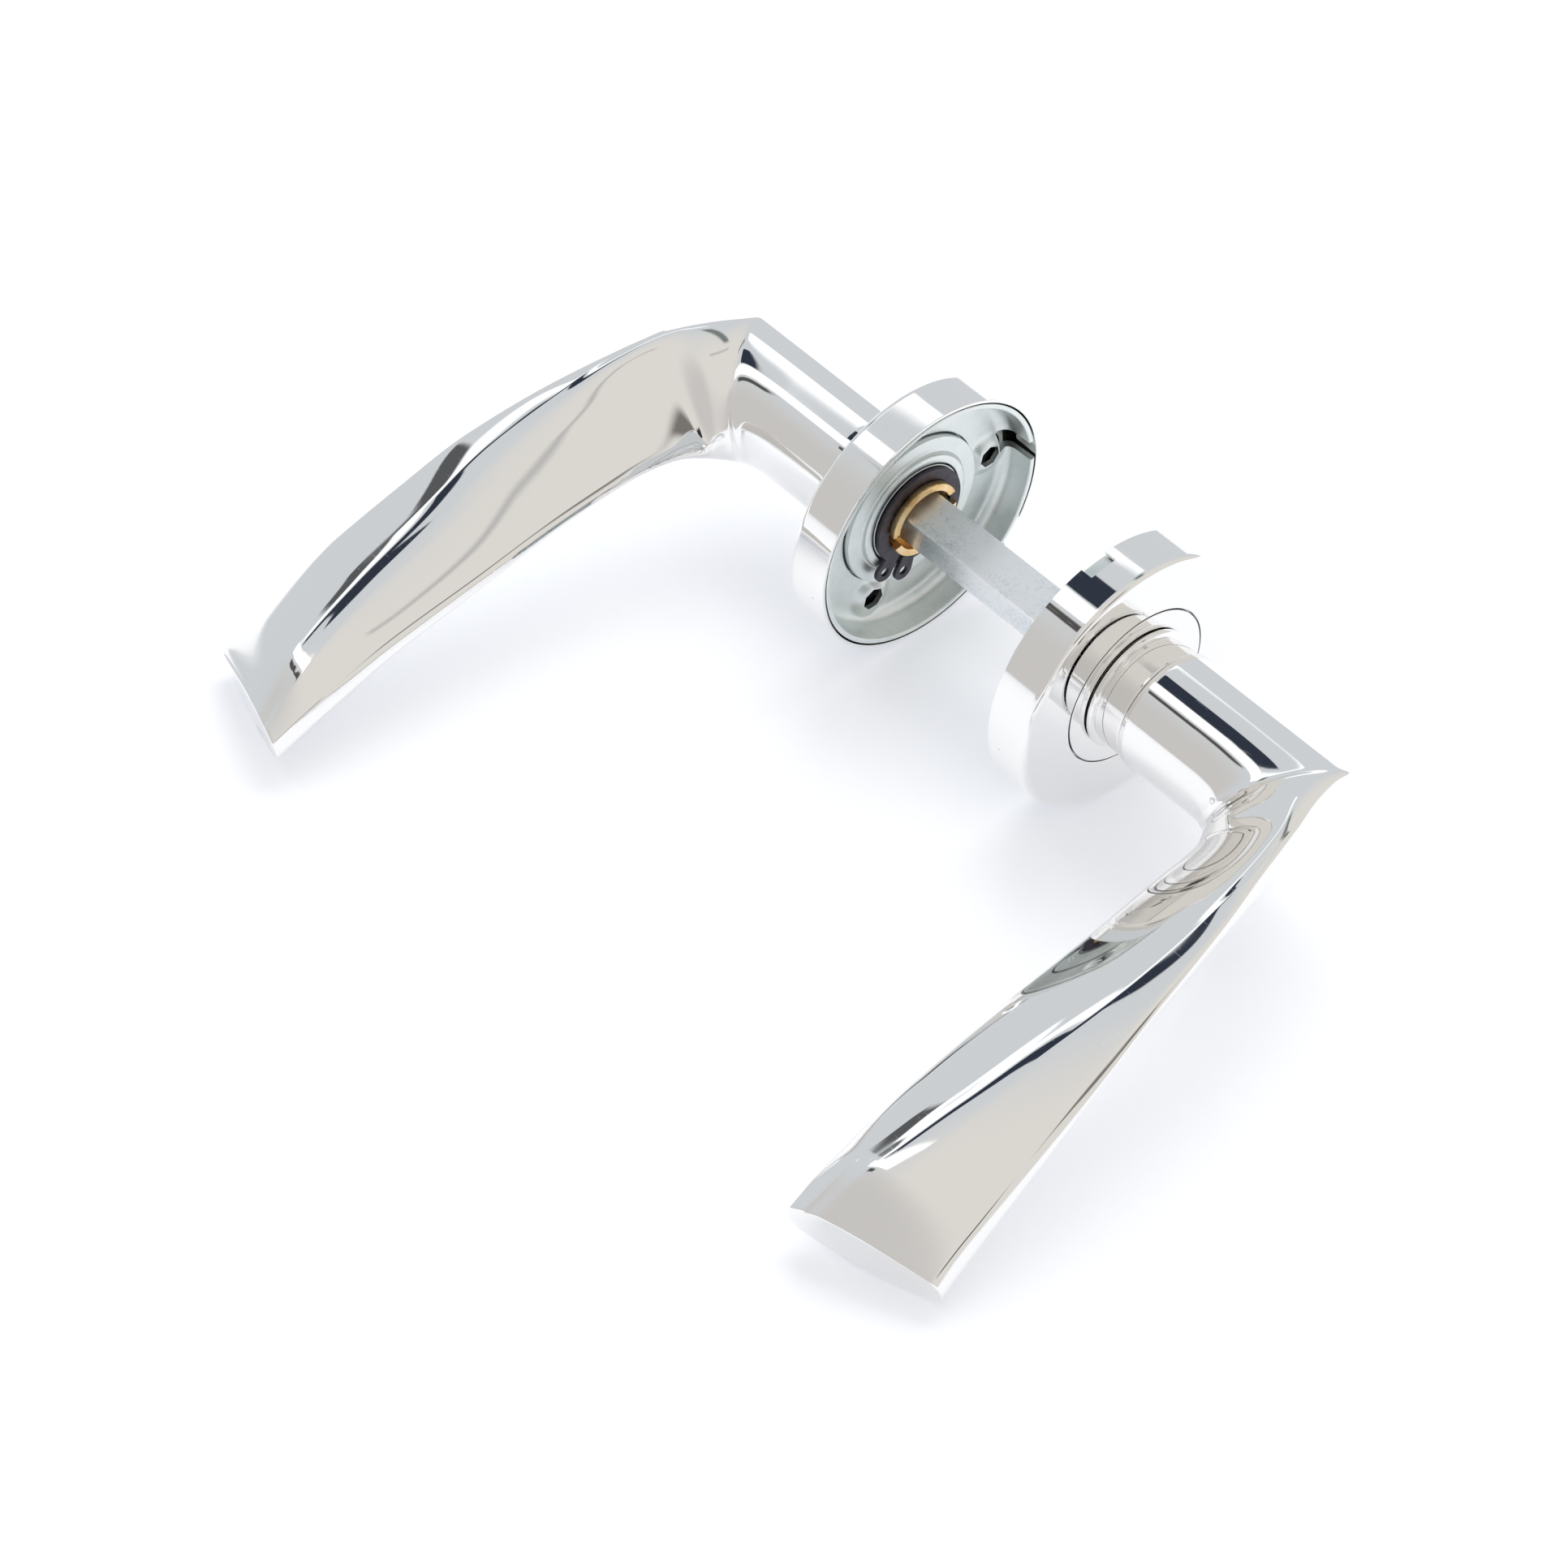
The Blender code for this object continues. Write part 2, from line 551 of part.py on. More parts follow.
def section_points(row, count):
    """One closed section of the lever, round at the neck and a blunt-edged lens at the grip."""
    inner, outer, rise, drop = (Vector(row[i:i + 3]) for i in (0, 3, 6, 9))
    ridge_shift, keel_shift, softness, lens, blunt_in, blunt_out = row[12:]
    reach = (outer - inner) / 2
    centre = (inner + outer) / 2
    points = []
    for i in range(count):
        angle = 2 * pi * i / count
        u, s = cos(angle), sin(angle)
        above = s >= 0.0
        along = u + (ridge_shift if above else keel_shift) * tent(u, SHIFT_SOFTNESS)
        roof = gable(along, ridge_shift, softness) if above else tent(u, KEEL_SOFTNESS)
        blunt = (blunt_in if u < 0.0 else blunt_out) * min(abs(u) / RIDGE_BAND, 1.0)
        edge = min(abs(s) / sin(EDGE_STRIP), 1.0)
        height = (1.0 - lens) * sqrt(max(1.0 - along**2, 0.0)) + lens * (blunt * edge + (1.0 - blunt) * roof)
        points.append(centre + reach * along + (rise if above else drop) * height)
    return points


def lever(side, handle, face):
    """The grip and neck: a loft from a round neck through a tight corner to a lens-shaped tip."""
    def fill(bm):
        rings = []
        for row in lever_rows():
            rings.append([bm.verts.new(point * MM) for point in section_points(row, LEVER_POINTS)])
        for before, after in zip(rings, rings[1:]):
            for i in range(LEVER_POINTS):
                j = (i + 1) % LEVER_POINTS
                bm.faces.new((before[i], before[j], after[j], after[i]))
        bm.faces.new(reversed(rings[0]))
        bm.faces.new(rings[-1])
        bmesh.ops.recalc_face_normals(bm, faces=bm.faces)
        for polygon in bm.faces:
            polygon.smooth = True

    obj = mesh_object(f"lever_{side}", fill)
    bpy.context.scene.collection.objects.unlink(obj)
    PARTS.objects.link(obj)
    obj.parent = handle
    obj.data.materials.append(SLOTS["polished_chrome"])
    obj.data.set_sharp_from_angle(angle=SHARP_ANGLE)
    depth = NECK_BORE_END - NECK_START + CUTTER_MARGIN
    bore = round_cutter(f"neck_bore_{side}", NECK_BORE, depth,
                        (0.0, 0.0, NECK_BORE_END - depth / 2), face, segments=STEPS_MEDIUM)
    cut(obj, bore)
    cut(obj, grub_cutter(f"lever_thread_{side}", face))


def handle_set(side, handle, face):
    lever(side, handle, face)
    turned(f"neck_collar_{side}", COLLAR_PROFILE, face, "polished_chrome", STEPS_MEDIUM)
    spindle_socket(side, face)
    circlip(side, face)
    turned(f"thrust_washer_{side}", WASHER_PROFILE, face, "zinc_plate", STEPS_SMALL)
    spring_driver(side, face)
    grub_screw(side, face)


def spindle(handle):
    """The square bar, its ends eased a little where they slide into the sockets."""
    eased = SPINDLE_SIDE / 2 - SPINDLE_EASE
    stations = [
        (-SPINDLE_HALF_LENGTH, eased), (-SPINDLE_BARE_HALF - SPINDLE_EASE_RUN, eased),
        (-SPINDLE_BARE_HALF, SPINDLE_SIDE / 2), (SPINDLE_BARE_HALF, SPINDLE_SIDE / 2),
        (SPINDLE_BARE_HALF + SPINDLE_EASE_RUN, eased), (SPINDLE_HALF_LENGTH, eased),
    ]

    def fill(bm):
        rings = []
        for x, half in stations:
            corners = [(-half, -half), (half, -half), (half, half), (-half, half)]
            rings.append([bm.verts.new(Vector((x, y, z)) * MM) for y, z in corners])
        for before, after in zip(rings, rings[1:]):
            for i in range(4):
                j = (i + 1) % 4
                bm.faces.new((before[i], before[j], after[j], after[i]))
        bm.faces.new(rings[0])
        bm.faces.new(rings[-1])
        bmesh.ops.recalc_face_normals(bm, faces=bm.faces)

    obj = mesh_object("spindle", fill)
    bpy.context.scene.collection.objects.unlink(obj)
    PARTS.objects.link(obj)
    obj.parent = handle
    obj.data.materials.append(SLOTS["zinc_spindle"])
    bevel = obj.modifiers.new("edges", "BEVEL")
    bevel.width = SPINDLE_CHAMFER * MM
    bevel.segments = 2
    bevel.limit_method = "ANGLE"


clear_scene()
PARTS = new_collection("door_lever_handle")
CUTTERS = new_collection("cutters")
SLOTS = {name: make_material(name) for name in MATERIALS}

for side, direction in (("a", -1), ("b", 1)):
    mirrored_face = (1.0, 1.0, direction)
    door = add_empty(f"door_face_{side}", (direction * DOOR_FACE, AXIS_Y, ROSE_RADIUS),
                     (0.0, pi / 2, 0.0), mirrored_face)
    rose(side, door)
    handle = add_empty(f"handle_{side}", (0.0, AXIS_Y, ROSE_RADIUS), (radians(LEVER_DROOP), 0.0, 0.0),
                       (direction, 1.0, 1.0))
    axis = add_empty(f"handle_axis_{side}", (DOOR_FACE, 0.0, 0.0), (0.0, pi / 2, 0.0), parent=handle)
    handle_set(side, handle, axis)
    if side == "a":
        spindle(handle)
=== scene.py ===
"""Finished surfaces, materials and studio for the pair of door levers on round roses.

Lengths are millimetres and pass through MM when a mesh is made, except where a name ends in _M.
A place is the distance outward from a rose's back plane, along the spindle. An angle on a rose
is in degrees: 0 is +Y and 90 is up.
"""
import json
from math import atan2, ceil, cos, degrees, hypot, pi, radians, sin, sqrt

import bmesh
import bpy
from mathutils import Matrix, Vector


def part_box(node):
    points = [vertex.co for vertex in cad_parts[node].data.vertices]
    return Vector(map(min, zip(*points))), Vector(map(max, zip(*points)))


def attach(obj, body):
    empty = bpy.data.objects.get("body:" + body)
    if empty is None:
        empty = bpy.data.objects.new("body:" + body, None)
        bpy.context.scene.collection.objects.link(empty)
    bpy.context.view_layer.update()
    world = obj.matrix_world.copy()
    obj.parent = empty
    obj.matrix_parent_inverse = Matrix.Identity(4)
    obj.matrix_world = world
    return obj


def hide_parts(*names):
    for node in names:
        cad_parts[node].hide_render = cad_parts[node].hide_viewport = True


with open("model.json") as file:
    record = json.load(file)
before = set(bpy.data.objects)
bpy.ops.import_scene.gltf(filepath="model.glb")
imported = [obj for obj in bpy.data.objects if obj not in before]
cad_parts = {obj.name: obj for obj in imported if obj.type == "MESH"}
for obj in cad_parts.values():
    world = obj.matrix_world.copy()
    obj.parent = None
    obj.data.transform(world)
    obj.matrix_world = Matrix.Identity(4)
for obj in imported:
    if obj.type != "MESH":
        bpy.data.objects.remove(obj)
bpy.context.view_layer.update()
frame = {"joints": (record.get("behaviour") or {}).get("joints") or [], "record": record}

MM = 0.001
SIDES = (("a", -1), ("b", 1))

# ---------------------------------------------------------------- places, from the frame

TURN_JOINT = next(joint for joint in frame["joints"] if joint["name"] == "lever_turn")
AXIS_Y, AXIS_Z = (value / MM for value in TURN_JOINT["pos_m"][1:])
COVER_LOW, COVER_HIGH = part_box("rose_cover_b")
DOOR_FACE = COVER_LOW.x / MM
ROSE_RADIUS = (COVER_HIGH.z - COVER_LOW.z) / 2 / MM
FLAT_AXIS = next(mount for mount in frame["record"]["mounts"] if mount["name"] == "spindle_flat")["axis"]
DROOP = degrees(atan2(-FLAT_AXIS[1], FLAT_AXIS[2]))

# ---------------------------------------------------------------- driving dimensions

STEPS_LARGE = 192
STEPS_MEDIUM = 128
STEPS_SMALL = 96
STEPS_SCREW = 40
STEPS_HOLE = 48
STEPS_HEXAGON = 6
SMOOTH_ANGLE = 32.0
LEVER_SMOOTH_ANGLE = 40.0
FLAT_SMOOTH_ANGLE = 50.0
WELD_M = 0.000002
CLEARANCE = 0.3

SPINDLE_SIDE = 8.0
SPINDLE_HALF_LENGTH = 50.0
SPINDLE_EDGE = 0.45
SPINDLE_EDGE_POINTS = 6
SPINDLE_END_CHAMFER = 0.25
SQUARE_HOLE = 8.4

SOCKET_RADIUS = 7.6
SOCKET_BORE = 6.1
SOCKET_START = 1.6
SOCKET_STEP = 5.0
SOCKET_END = 38.0
SLOT_WIDTH = 3.0
SLOT_END = 8.2
SLOT_REACH = 20.0
CUTTER_MARGIN = 1.0

NECK_START = 16.7
NECK_BORE = SOCKET_RADIUS + CLEARANCE
NECK_BORE_END = SOCKET_END + CLEARANCE

GRUB_PLACE = 24.0
GRUB_RADIUS = 2.5
GRUB_INNER_END = 4.4
GRUB_OUTER_END = 10.8
GRUB_KEY = 2.5
GRUB_KEY_DEPTH = 2.6
GRUB_HOLE_LENGTH = 10.0
GRUB_POINT = 0.6
GRUB_LEAD = 0.4
GRUB_RUNOUT = 0.2
THREAD_PITCH = 0.8
THREAD_DEPTH = 0.3

CLIP_BACK, CLIP_FRONT = 3.15, 3.85
CLIP_INNER, CLIP_OUTER = 7.4, 9.9
CLIP_GAP_ANGLE = -129.0
CLIP_HALF_GAP = 5.0
CLIP_LUG_OFFSET = 12.5
CLIP_LUG_PLACE = 12.0
CLIP_LUG_RADIUS = 2.1
CLIP_LUG_HOLE = 0.9
CLIP_LUG_SHOULDER = 11.0
CLIP_LUG_SWEEP = 80.0
CLIP_RING_POINTS = 90
CLIP_LUG_POINTS = 20
CLIP_HOLE_POINTS = 24
CLIP_BLUNTING = 0.08

WIRE_RADIUS = 0.45
SPRING_PLACE = 6.85
SPRING_INNER, SPRING_OUTER = 11.5, 13.8
SPRING_TURNS = 2
SPRING_INNER_LEG = 10.1
SPRING_ANGLE = 60.0
SPRING_STEPS_PER_TURN = 60

DRIVER_BACK, DRIVER_FRONT = 6.45, 7.15
DRIVER_OUTER = 9.6
DRIVER_TAB_REACH = 11.0
DRIVER_TAB_WIDTH = 2.0
DRIVER_KEY_WIDTH = 2.4
DRIVER_KEY_REACH = 6.5
DRIVER_RING_POINTS = 80
DRIVER_TIP_POINTS = 6
DRIVER_BLUNTING = 0.06

PLATE_HOLE_CIRCLE = 19.0
PLATE_HOLE_RADIUS = 2.3
PLATE_HOLE_ANGLES = (4.0, 124.0, -116.0)
PLATE_HOLE_SIDES = 7
PLATE_HOLE_PLACE = 6.5
PLATE_HOLE_LENGTH = 6.0
PLATE_LONGEST_STEP = 0.5
PLATE_BOSS_RADIUS = 4.6
PLATE_BOSS_TOP = 2.7
PLATE_BOSS_HEIGHT = 1.1
PLATE_BOSS_FROM = 5.5
PLATE_BOSS_FADE = 1.0
PLATE_INNER = 15.6
PLATE_NOTCH_ANGLE = 8.0
PLATE_NOTCH_WIDTH = 4.6
PLATE_NOTCH_FLOOR = 21.3
PLATE_NOTCH_DEPTH = 6.9
COVER_NOTCH_ANGLE = {"a": -35.0, "b": 98.0}
COVER_NOTCH_WIDTH = 5.6
COVER_NOTCH_DEPTH = 2.6
COVER_NOTCH_REACH = 6.0
DIMPLE_ANGLE = -173.0
DIMPLE_PLACE = 2.8
DIMPLE_RADIUS = 1.0
DIMPLE_DEPTH = 0.3
DIMPLE_SIDES = 32
DIMPLE_RINGS = 24

# Turned profiles: radius, place and the radius of the corner there
COVER_PROFILE = [
    (15.9, 9.4, 0.15), (25.1, 9.0, 0.9), (26.0, 8.3, 0.7), (26.0, 0.0, 0.12),
    (25.4, 0.0, 0.12), (25.4, 8.0, 0.3), (25.0, 8.4, 0.3), (15.9, 8.8, 0.1),
]
PLATE_PROFILE = [
    (PLATE_INNER, 7.3, 0.1), (23.2, 7.3, 0.8), (24.9, 5.9, 0.8), (25.1, 0.0, 0.3),
    (24.1, 0.0, 0.35), (24.0, 4.9, 1.2), (22.4, 6.3, 1.0), (PLATE_INNER, 6.3, 0.1),
]
HOUSING_FRONT_PROFILE = [
    (10.9, 9.3, 0.1), (15.6, 9.45, 0.15), (15.6, 8.6, 0.1), (10.9, 8.6, 0.1),
]
HOUSING_PROFILE = [
    (10.9, 8.55, 0.05), (15.55, 8.55, 0.05), (15.55, 8.2, 0.05), (17.0, 8.2, 0.15), (17.0, 7.6, 0.15),
    (15.3, 7.6, 0.1), (15.3, 5.15, 0.2), (12.35, 5.15, 0.25), (12.2, 4.75, 0.1), (12.05, 4.95, 0.05),
    (11.95, 4.3, 0.25), (11.45, 4.2, 0.2), (10.4, 4.2, 0.2), (10.4, 6.0, 0.1), (14.5, 6.0, 0.3),
    (14.5, 8.3, 0.2), (10.9, 8.3, 0.05),
]
FRONT_BUSH_PROFILE = [
    (7.9, 9.3, 0.1), (10.6, 9.3, 0.1), (10.6, 8.2, 0.05),
    (11.3, 8.2, 0.1), (11.3, 7.6, 0.1), (7.9, 7.6, 0.1),
]
BACK_BUSH_PROFILE = [(7.9, 6.1, 0.1), (10.1, 6.1, 0.15), (10.1, 5.2, 0.15), (7.9, 5.2, 0.1)]
WASHER_PROFILE = [(7.9, 4.9, 0.1), (10.1, 4.9, 0.15), (10.1, 4.15, 0.15), (7.9, 4.15, 0.1)]
COLLAR_PROFILE = [
    (7.9, 16.4, 0.2), (11.0, 16.4, 0.35), (11.0, 11.25, 0.2), (10.72, 11.1, 0.1), (10.72, 10.85, 0.1),
    (11.95, 10.6, 0.45), (11.95, 9.6, 0.25), (7.9, 9.6, 0.2),
]
SOCKET_PROFILE = [
    (0.0, SOCKET_END, 0.0), (SOCKET_RADIUS, SOCKET_END, 0.4),
    (SOCKET_RADIUS, 4.15, 0.05), (7.1, 4.15, 0.05), (7.1, 2.85, 0.05), (SOCKET_RADIUS, 2.85, 0.05),
    (SOCKET_RADIUS, SOCKET_START, 0.3),
    (SOCKET_BORE, SOCKET_START, 0.3), (SOCKET_BORE, SOCKET_STEP, 0.1), (0.0, SOCKET_STEP, 0.0),
]
FILLET_STEPS = 5

# Lever sections, from the neck to the tip. Each has the inner and outer edge points, the rise of the
# ridge and the drop of the keel as vectors from the chord, then: ridge shift, keel shift,
# ridge softness, 0 round to 1 lens-shaped, inner and outer edge bluntness.
LEVER_SECTIONS = [
    ((37.7, -9.3, -6.76), (37.7, 9.3, 6.76), (0, -6.76, 9.3), (0, 6.76, -9.3),
     0.9, 0, 0.6, 0, 0, 0),
    ((52.5, -9.3, -6.76), (56, 9.3, 6.76), (0, -6.76, 9.3), (0, 6.76, -9.3),
     0.9, 0, 0.6, 0, 0, 0),
    ((56, -9.6, -6.5), (65.5, 9.3, 6.76), (-0.6, -6.76, 9.3), (0.6, 6.76, -9.3),
     0.9, 0, 0.6, 0, 0, 0),
    ((58.4, -10.4, -5.8), (73.7, 9.3, 6.76), (-2, -6.76, 9.3), (0, 6.76, -9.3),
     0.9, 0, 0.6, 0, 0, 0),
    ((60, -12, -4.4), (74.9, 5.6, 8.6), (-1.9, -4.2, 8.8), (0.6, 5, -9.2),
     0.9, 0, 0.5, 0.08, 0.25, 0.1),
    ((61.2, -14.4, -2.4), (77.3, -2.4, 12), (-1.6, -1.8, 7), (2.6, 3.4, -8.6),
     0.9, 0, 0.45, 0.15, 0.25, 0.15),
    ((62.3, -17.4, -0.2), (80, -11, 14.8), (-1.2, -0.6, 3.6), (4.2, 1.2, -7.6),
     0.88, -0.08, 0.4, 0.35, 0.25, 0.15),
    ((63.6, -22.5, 2.8), (82.2, -20.5, 15.3), (-1, -0.3, 2.9), (3.7, 0.3, -6.8),
     0.82, -0.08, 0.4, 0.55, 0.25, 0.15),
    ((64.7, -33, 5.2), (84.9, -32, 15.4), (-1.2, -0.3, 2.9), (2.9, -0.4, -6.6),
     0.62, -0.05, 0.4, 0.68, 0.25, 0.15),
    ((65.2, -50, 6.3), (87.9, -49, 14.6), (-1.4, -0.2, 4.1), (1.9, 0, -5.8),
     0.38, -0.01, 0.45, 0.75, 0.22, 0.2),
    ((65, -66, 6.7), (90, -64, 11.4), (-1.1, -0.1, 6.1), (0.9, 0, -5.3),
     0.12, -0.03, 0.5, 0.77, 0.22, 0.2),
    ((65.2, -84, 6.9), (92, -82, 6.4), (0.3, 0.2, 8.2), (-0.2, 0, -5.3),
     -0.17, 0, 0.5, 0.78, 0.2, 0.22),
    ((65.5, -101, 5.2), (93.2, -97, 1), (1.3, 0.4, 9.3), (-0.8, 0, -5.2),
     -0.47, 0.03, 0.5, 0.8, 0.22, 0.26),
    ((66.4, -113.8, 2.3), (93.8, -105.5, -2.4), (0.9, 0.2, 5.8), (-0.8, -0.2, -4.8),
     -0.67, 0.06, 0.4, 0.85, 0.45, 0.5),
]
NECK_RADIUS = 11.5
LEVER_NECK_RINGS = 10
LEVER_RINGS = 150
LEVER_POINTS = 176
KEEL_SOFTNESS = 0.8
SHIFT_SOFTNESS = 0.1
RIDGE_BAND = 0.25
EDGE_STRIP = radians(24.0)
SHORTEST_STEP = 1.5
TIP_EDGE = 0.35
NECK_EDGE = 0.3


# ---------------------------------------------------------------- mesh helpers

def on_axis(direction, radius, angle, place):
    """A point of the row frame, in metres, from its radius, angle and place on one side's axis."""
    turn = radians(angle)
    return Vector((direction * (DOOR_FACE + place),
                   AXIS_Y + radius * cos(turn), AXIS_Z + radius * sin(turn))) * MM


def on_handle(direction, point):
    """A point of the row frame, in metres, from the handle's own axes, where the lever is level."""
    x, y, z = point
    c, s = cos(radians(DROOP)), sin(radians(DROOP))
    return Vector((direction * x, AXIS_Y + y * c - z * s, AXIS_Z + y * s + z * c)) * MM


def mesh_piece(name, vertices, faces, smooth_angle=SMOOTH_ANGLE):
    """A closed mesh object with outward faces, smooth but for its sharp edges."""
    mesh = bpy.data.meshes.new(name)
    mesh.from_pydata(vertices, [], faces)
    bm = bmesh.new()
    bm.from_mesh(mesh)
    bmesh.ops.recalc_face_normals(bm, faces=bm.faces)
    bm.to_mesh(mesh)
    bm.free()
    mesh.shade_smooth()
    mesh.set_sharp_from_angle(angle=radians(smooth_angle))
    obj = bpy.data.objects.new(name, mesh)
    bpy.context.scene.collection.objects.link(obj)
    return obj


def flat_normals(obj):
    """Keeps broad faces flat in reflections beside their small rounded edges."""
    weighted = obj.modifiers.new("flat faces", "WEIGHTED_NORMAL")
    weighted.keep_sharp = True
    weighted.weight = 100


def carve(obj, cutters, smooth_angle=SMOOTH_ANGLE):
    """Cuts the cutters out of obj for good, and removes them."""
    for cutter in cutters:
        boolean = obj.modifiers.new("carve", "BOOLEAN")
        boolean.operation = "DIFFERENCE"
        boolean.solver = "EXACT"
        boolean.object = cutter
    evaluated = obj.evaluated_get(bpy.context.evaluated_depsgraph_get())
    mesh = bpy.data.meshes.new_from_object(evaluated)
    obj.modifiers.clear()
    obj.data = mesh
    mesh.shade_smooth()
    mesh.set_sharp_from_angle(angle=radians(smooth_angle))
    for cutter in cutters:
        bpy.data.objects.remove(cutter, do_unlink=True)


def filleted(profile, closed=True):
    """The profile's points with each corner rounded by its own radius."""
    points = []
    count = len(profile)
    for i, (radius, place, fillet) in enumerate(profile):
        here = Vector((radius, place))
        at_end = not closed and i in (0, count - 1)
        if fillet <= 0.0 or at_end:
            points.append(here)
            continue
        before = Vector(profile[i - 1][:2])
        after = Vector(profile[(i + 1) % count][:2])
        reach_before = min(fillet, (before - here).length * 0.48)
        reach_after = min(fillet, (after - here).length * 0.48)
        start = here + (before - here).normalized() * reach_before
        end = here + (after - here).normalized() * reach_after
        for k in range(FILLET_STEPS + 1):
            t = k / FILLET_STEPS
            points.append(start * (1 - t) ** 2 + here * 2 * t * (1 - t) + end * t**2)
    return points


def subdivided(points, longest, closed=True):
    """The same outline with no step longer than longest."""
    fine = []
    count = len(points)
    for i, here in enumerate(points):
        fine.append(here)
        if not closed and i == count - 1:
            break
        after = points[(i + 1) % count]
        pieces = ceil((after - here).length / longest)
        for k in range(1, pieces):
            fine.append(here.lerp(after, k / pieces))
    return fine


def turned(name, profile, direction, steps, closed=True, longest=None, shift=None):
    """A solid of revolution about the axis. shift(radius, angle, place) may move a point's place."""
    outline = filleted(profile, closed)
    if longest:
        outline = subdivided(outline, longest, closed)
    vertices, rings = [], []
    for radius, place in outline:
        ring = []
        for i in range(1 if radius == 0.0 else steps):
            angle = 360.0 * i / steps
            moved = place + shift(radius, angle, place) if shift else place
            ring.append(len(vertices))
            vertices.append(on_axis(direction, radius, angle, moved))
        rings.append(ring)
    faces = []
    last = len(rings) if closed else len(rings) - 1
    for n in range(last):
        first, second = rings[n], rings[(n + 1) % len(rings)]
        for i in range(steps):
            j = (i + 1) % steps
            quad = [first[i % len(first)], first[j % len(first)],
                    second[j % len(second)], second[i % len(second)]]
            corners = list(dict.fromkeys(quad))
            if len(corners) > 2:
                faces.append(corners)
    obj = mesh_piece(name, vertices, faces)
    flat_normals(obj)
    return obj


def box_cutter(direction, angle, size, centre):
    """A box on the axis: size and centre along the angle's radius, across it, and outward."""
    corners = []
    for u in (-0.5, 0.5):
        for v in (-0.5, 0.5):
            for w in (-0.5, 0.5):
                along = centre[0] + u * size[0]
                across = centre[1] + v * size[1]
                turn = angle + degrees(atan2(across, along))
                corners.append(on_axis(direction, hypot(along, across), turn, centre[2] + w * size[2]))
    faces = [(0, 1, 3, 2), (4, 6, 7, 5), (0, 4, 5, 1), (2, 3, 7, 6), (0, 2, 6, 4), (1, 5, 7, 3)]
    return mesh_piece("cutter", corners, faces)


def round_cutter(centre, axis, radius, length, sides=STEPS_HOLE):
    """A cylinder about a centre in metres, its radius and length in millimetres."""
    bm = bmesh.new()
    bmesh.ops.create_cone(bm, cap_ends=True, segments=sides, radius1=radius * MM, radius2=radius * MM,
                          depth=length * MM)
    turn = axis.to_track_quat("Z", "Y").to_matrix().to_4x4()
    return linked(bm, Matrix.Translation(centre) @ turn)


def linked(bm, matrix):
    """A cutter from a mesh being built, moved by a matrix."""
    mesh = bpy.data.meshes.new("cutter")
    bm.to_mesh(mesh)
    bm.free()
    mesh.transform(matrix)
    obj = bpy.data.objects.new("cutter", mesh)
    bpy.context.scene.collection.objects.link(obj)
    return obj


def looped_faces(rings, count):
    """Quads between rings of count points each, and a cap at either end."""
    faces = []
    for n in range(rings - 1):
        for i in range(count):
            j = (i + 1) % count
            faces.append((n * count + i, n * count + j, (n + 1) * count + j, (n + 1) * count + i))
    faces.append(tuple(range(count)))
    faces.append(tuple(range((rings - 1) * count, rings * count)))
    return faces


# ---------------------------------------------------------------- materials

CHROME = (0.90, 0.895, 0.885)
LEVER_WAVES_M = 0.000005
ROSE_WAVES_M = 0.00002
FINE_RELIEF_M = 0.00001
PEEL_RELIEF_M = 0.00004
PIT_RELIEF_M = 0.00003
DRAWN_RELIEF_M = 0.000008
SCRATCH_RELIEF_M = 0.000004
TOOL_RINGS_PER_M = 24000.0    # in radians


def new_material(name, colour, metallic, roughness):
    """A Principled material, its node tree and its shader."""
    material = bpy.data.materials.new(name)
    material.use_nodes = True
    tree = material.node_tree
    shader = tree.nodes["Principled BSDF"]
    shader.inputs["Base Color"].default_value = (*colour, 1.0)
    shader.inputs["Metallic"].default_value = metallic
    shader.inputs["Roughness"].default_value = roughness
    return material, tree, shader


def node(tree, kind, inputs=None, **settings):
    """A new node with its settings and its inputs: values, or sockets to link."""
    made = tree.nodes.new(kind)
    for key, value in settings.items():
        setattr(made, key, value)
    for key, value in (inputs or {}).items():
        if isinstance(value, bpy.types.NodeSocket):
            tree.links.new(value, made.inputs[key])
        else:
            made.inputs[key].default_value = value
    return made


def object_place(tree, scale=(1.0, 1.0, 1.0), rotation=(0.0, 0.0, 0.0)):
    """Object coordinates, scaled, as a vector socket."""
    place = node(tree, "ShaderNodeTexCoord").outputs["Object"]
    mapping = node(tree, "ShaderNodeMapping", {"Vector": place, "Scale": scale, "Rotation": rotation})
    return mapping.outputs["Vector"]


def noise(tree, vector, scale, detail=2.0, roughness=0.5, distortion=0.0):
    made = node(tree, "ShaderNodeTexNoise", {"Vector": vector, "Scale": scale, "Detail": detail,
                                             "Roughness": roughness, "Distortion": distortion})
    return made.outputs["Fac"]


def remap(tree, value, low, high, new_low, new_high):
    made = node(tree, "ShaderNodeMapRange", {"Value": value, "From Min": low, "From Max": high,
                                             "To Min": new_low, "To Max": new_high})
    return made.outputs["Result"]


def ramp(tree, value, stops):
    """A colour ramp through (position, colour) stops."""
    made = node(tree, "ShaderNodeValToRGB", {"Fac": value})
    band = made.color_ramp
    while len(band.elements) < len(stops):
        band.elements.new(0.5)
    for element, (position, colour) in zip(band.elements, stops):
        element.position = position
        element.color = (*colour, 1.0)
    return made.outputs["Color"]


def bump(tree, height, strength, distance, normal=None):
    inputs = {"Height": height, "Strength": strength, "Distance": distance}
    if normal is not None:
        inputs["Normal"] = normal
    return node(tree, "ShaderNodeBump", inputs).outputs["Normal"]


def scratches(tree, rotation, scale, threshold):
    """Thin straight scratches: ridges of a noise stretched along one direction."""
    lines = noise(tree, object_place(tree, (scale * 0.02, scale, scale), rotation), 1.0, 2.0)
    return remap(tree, lines, threshold, threshold + 0.02, 0.0, 1.0)


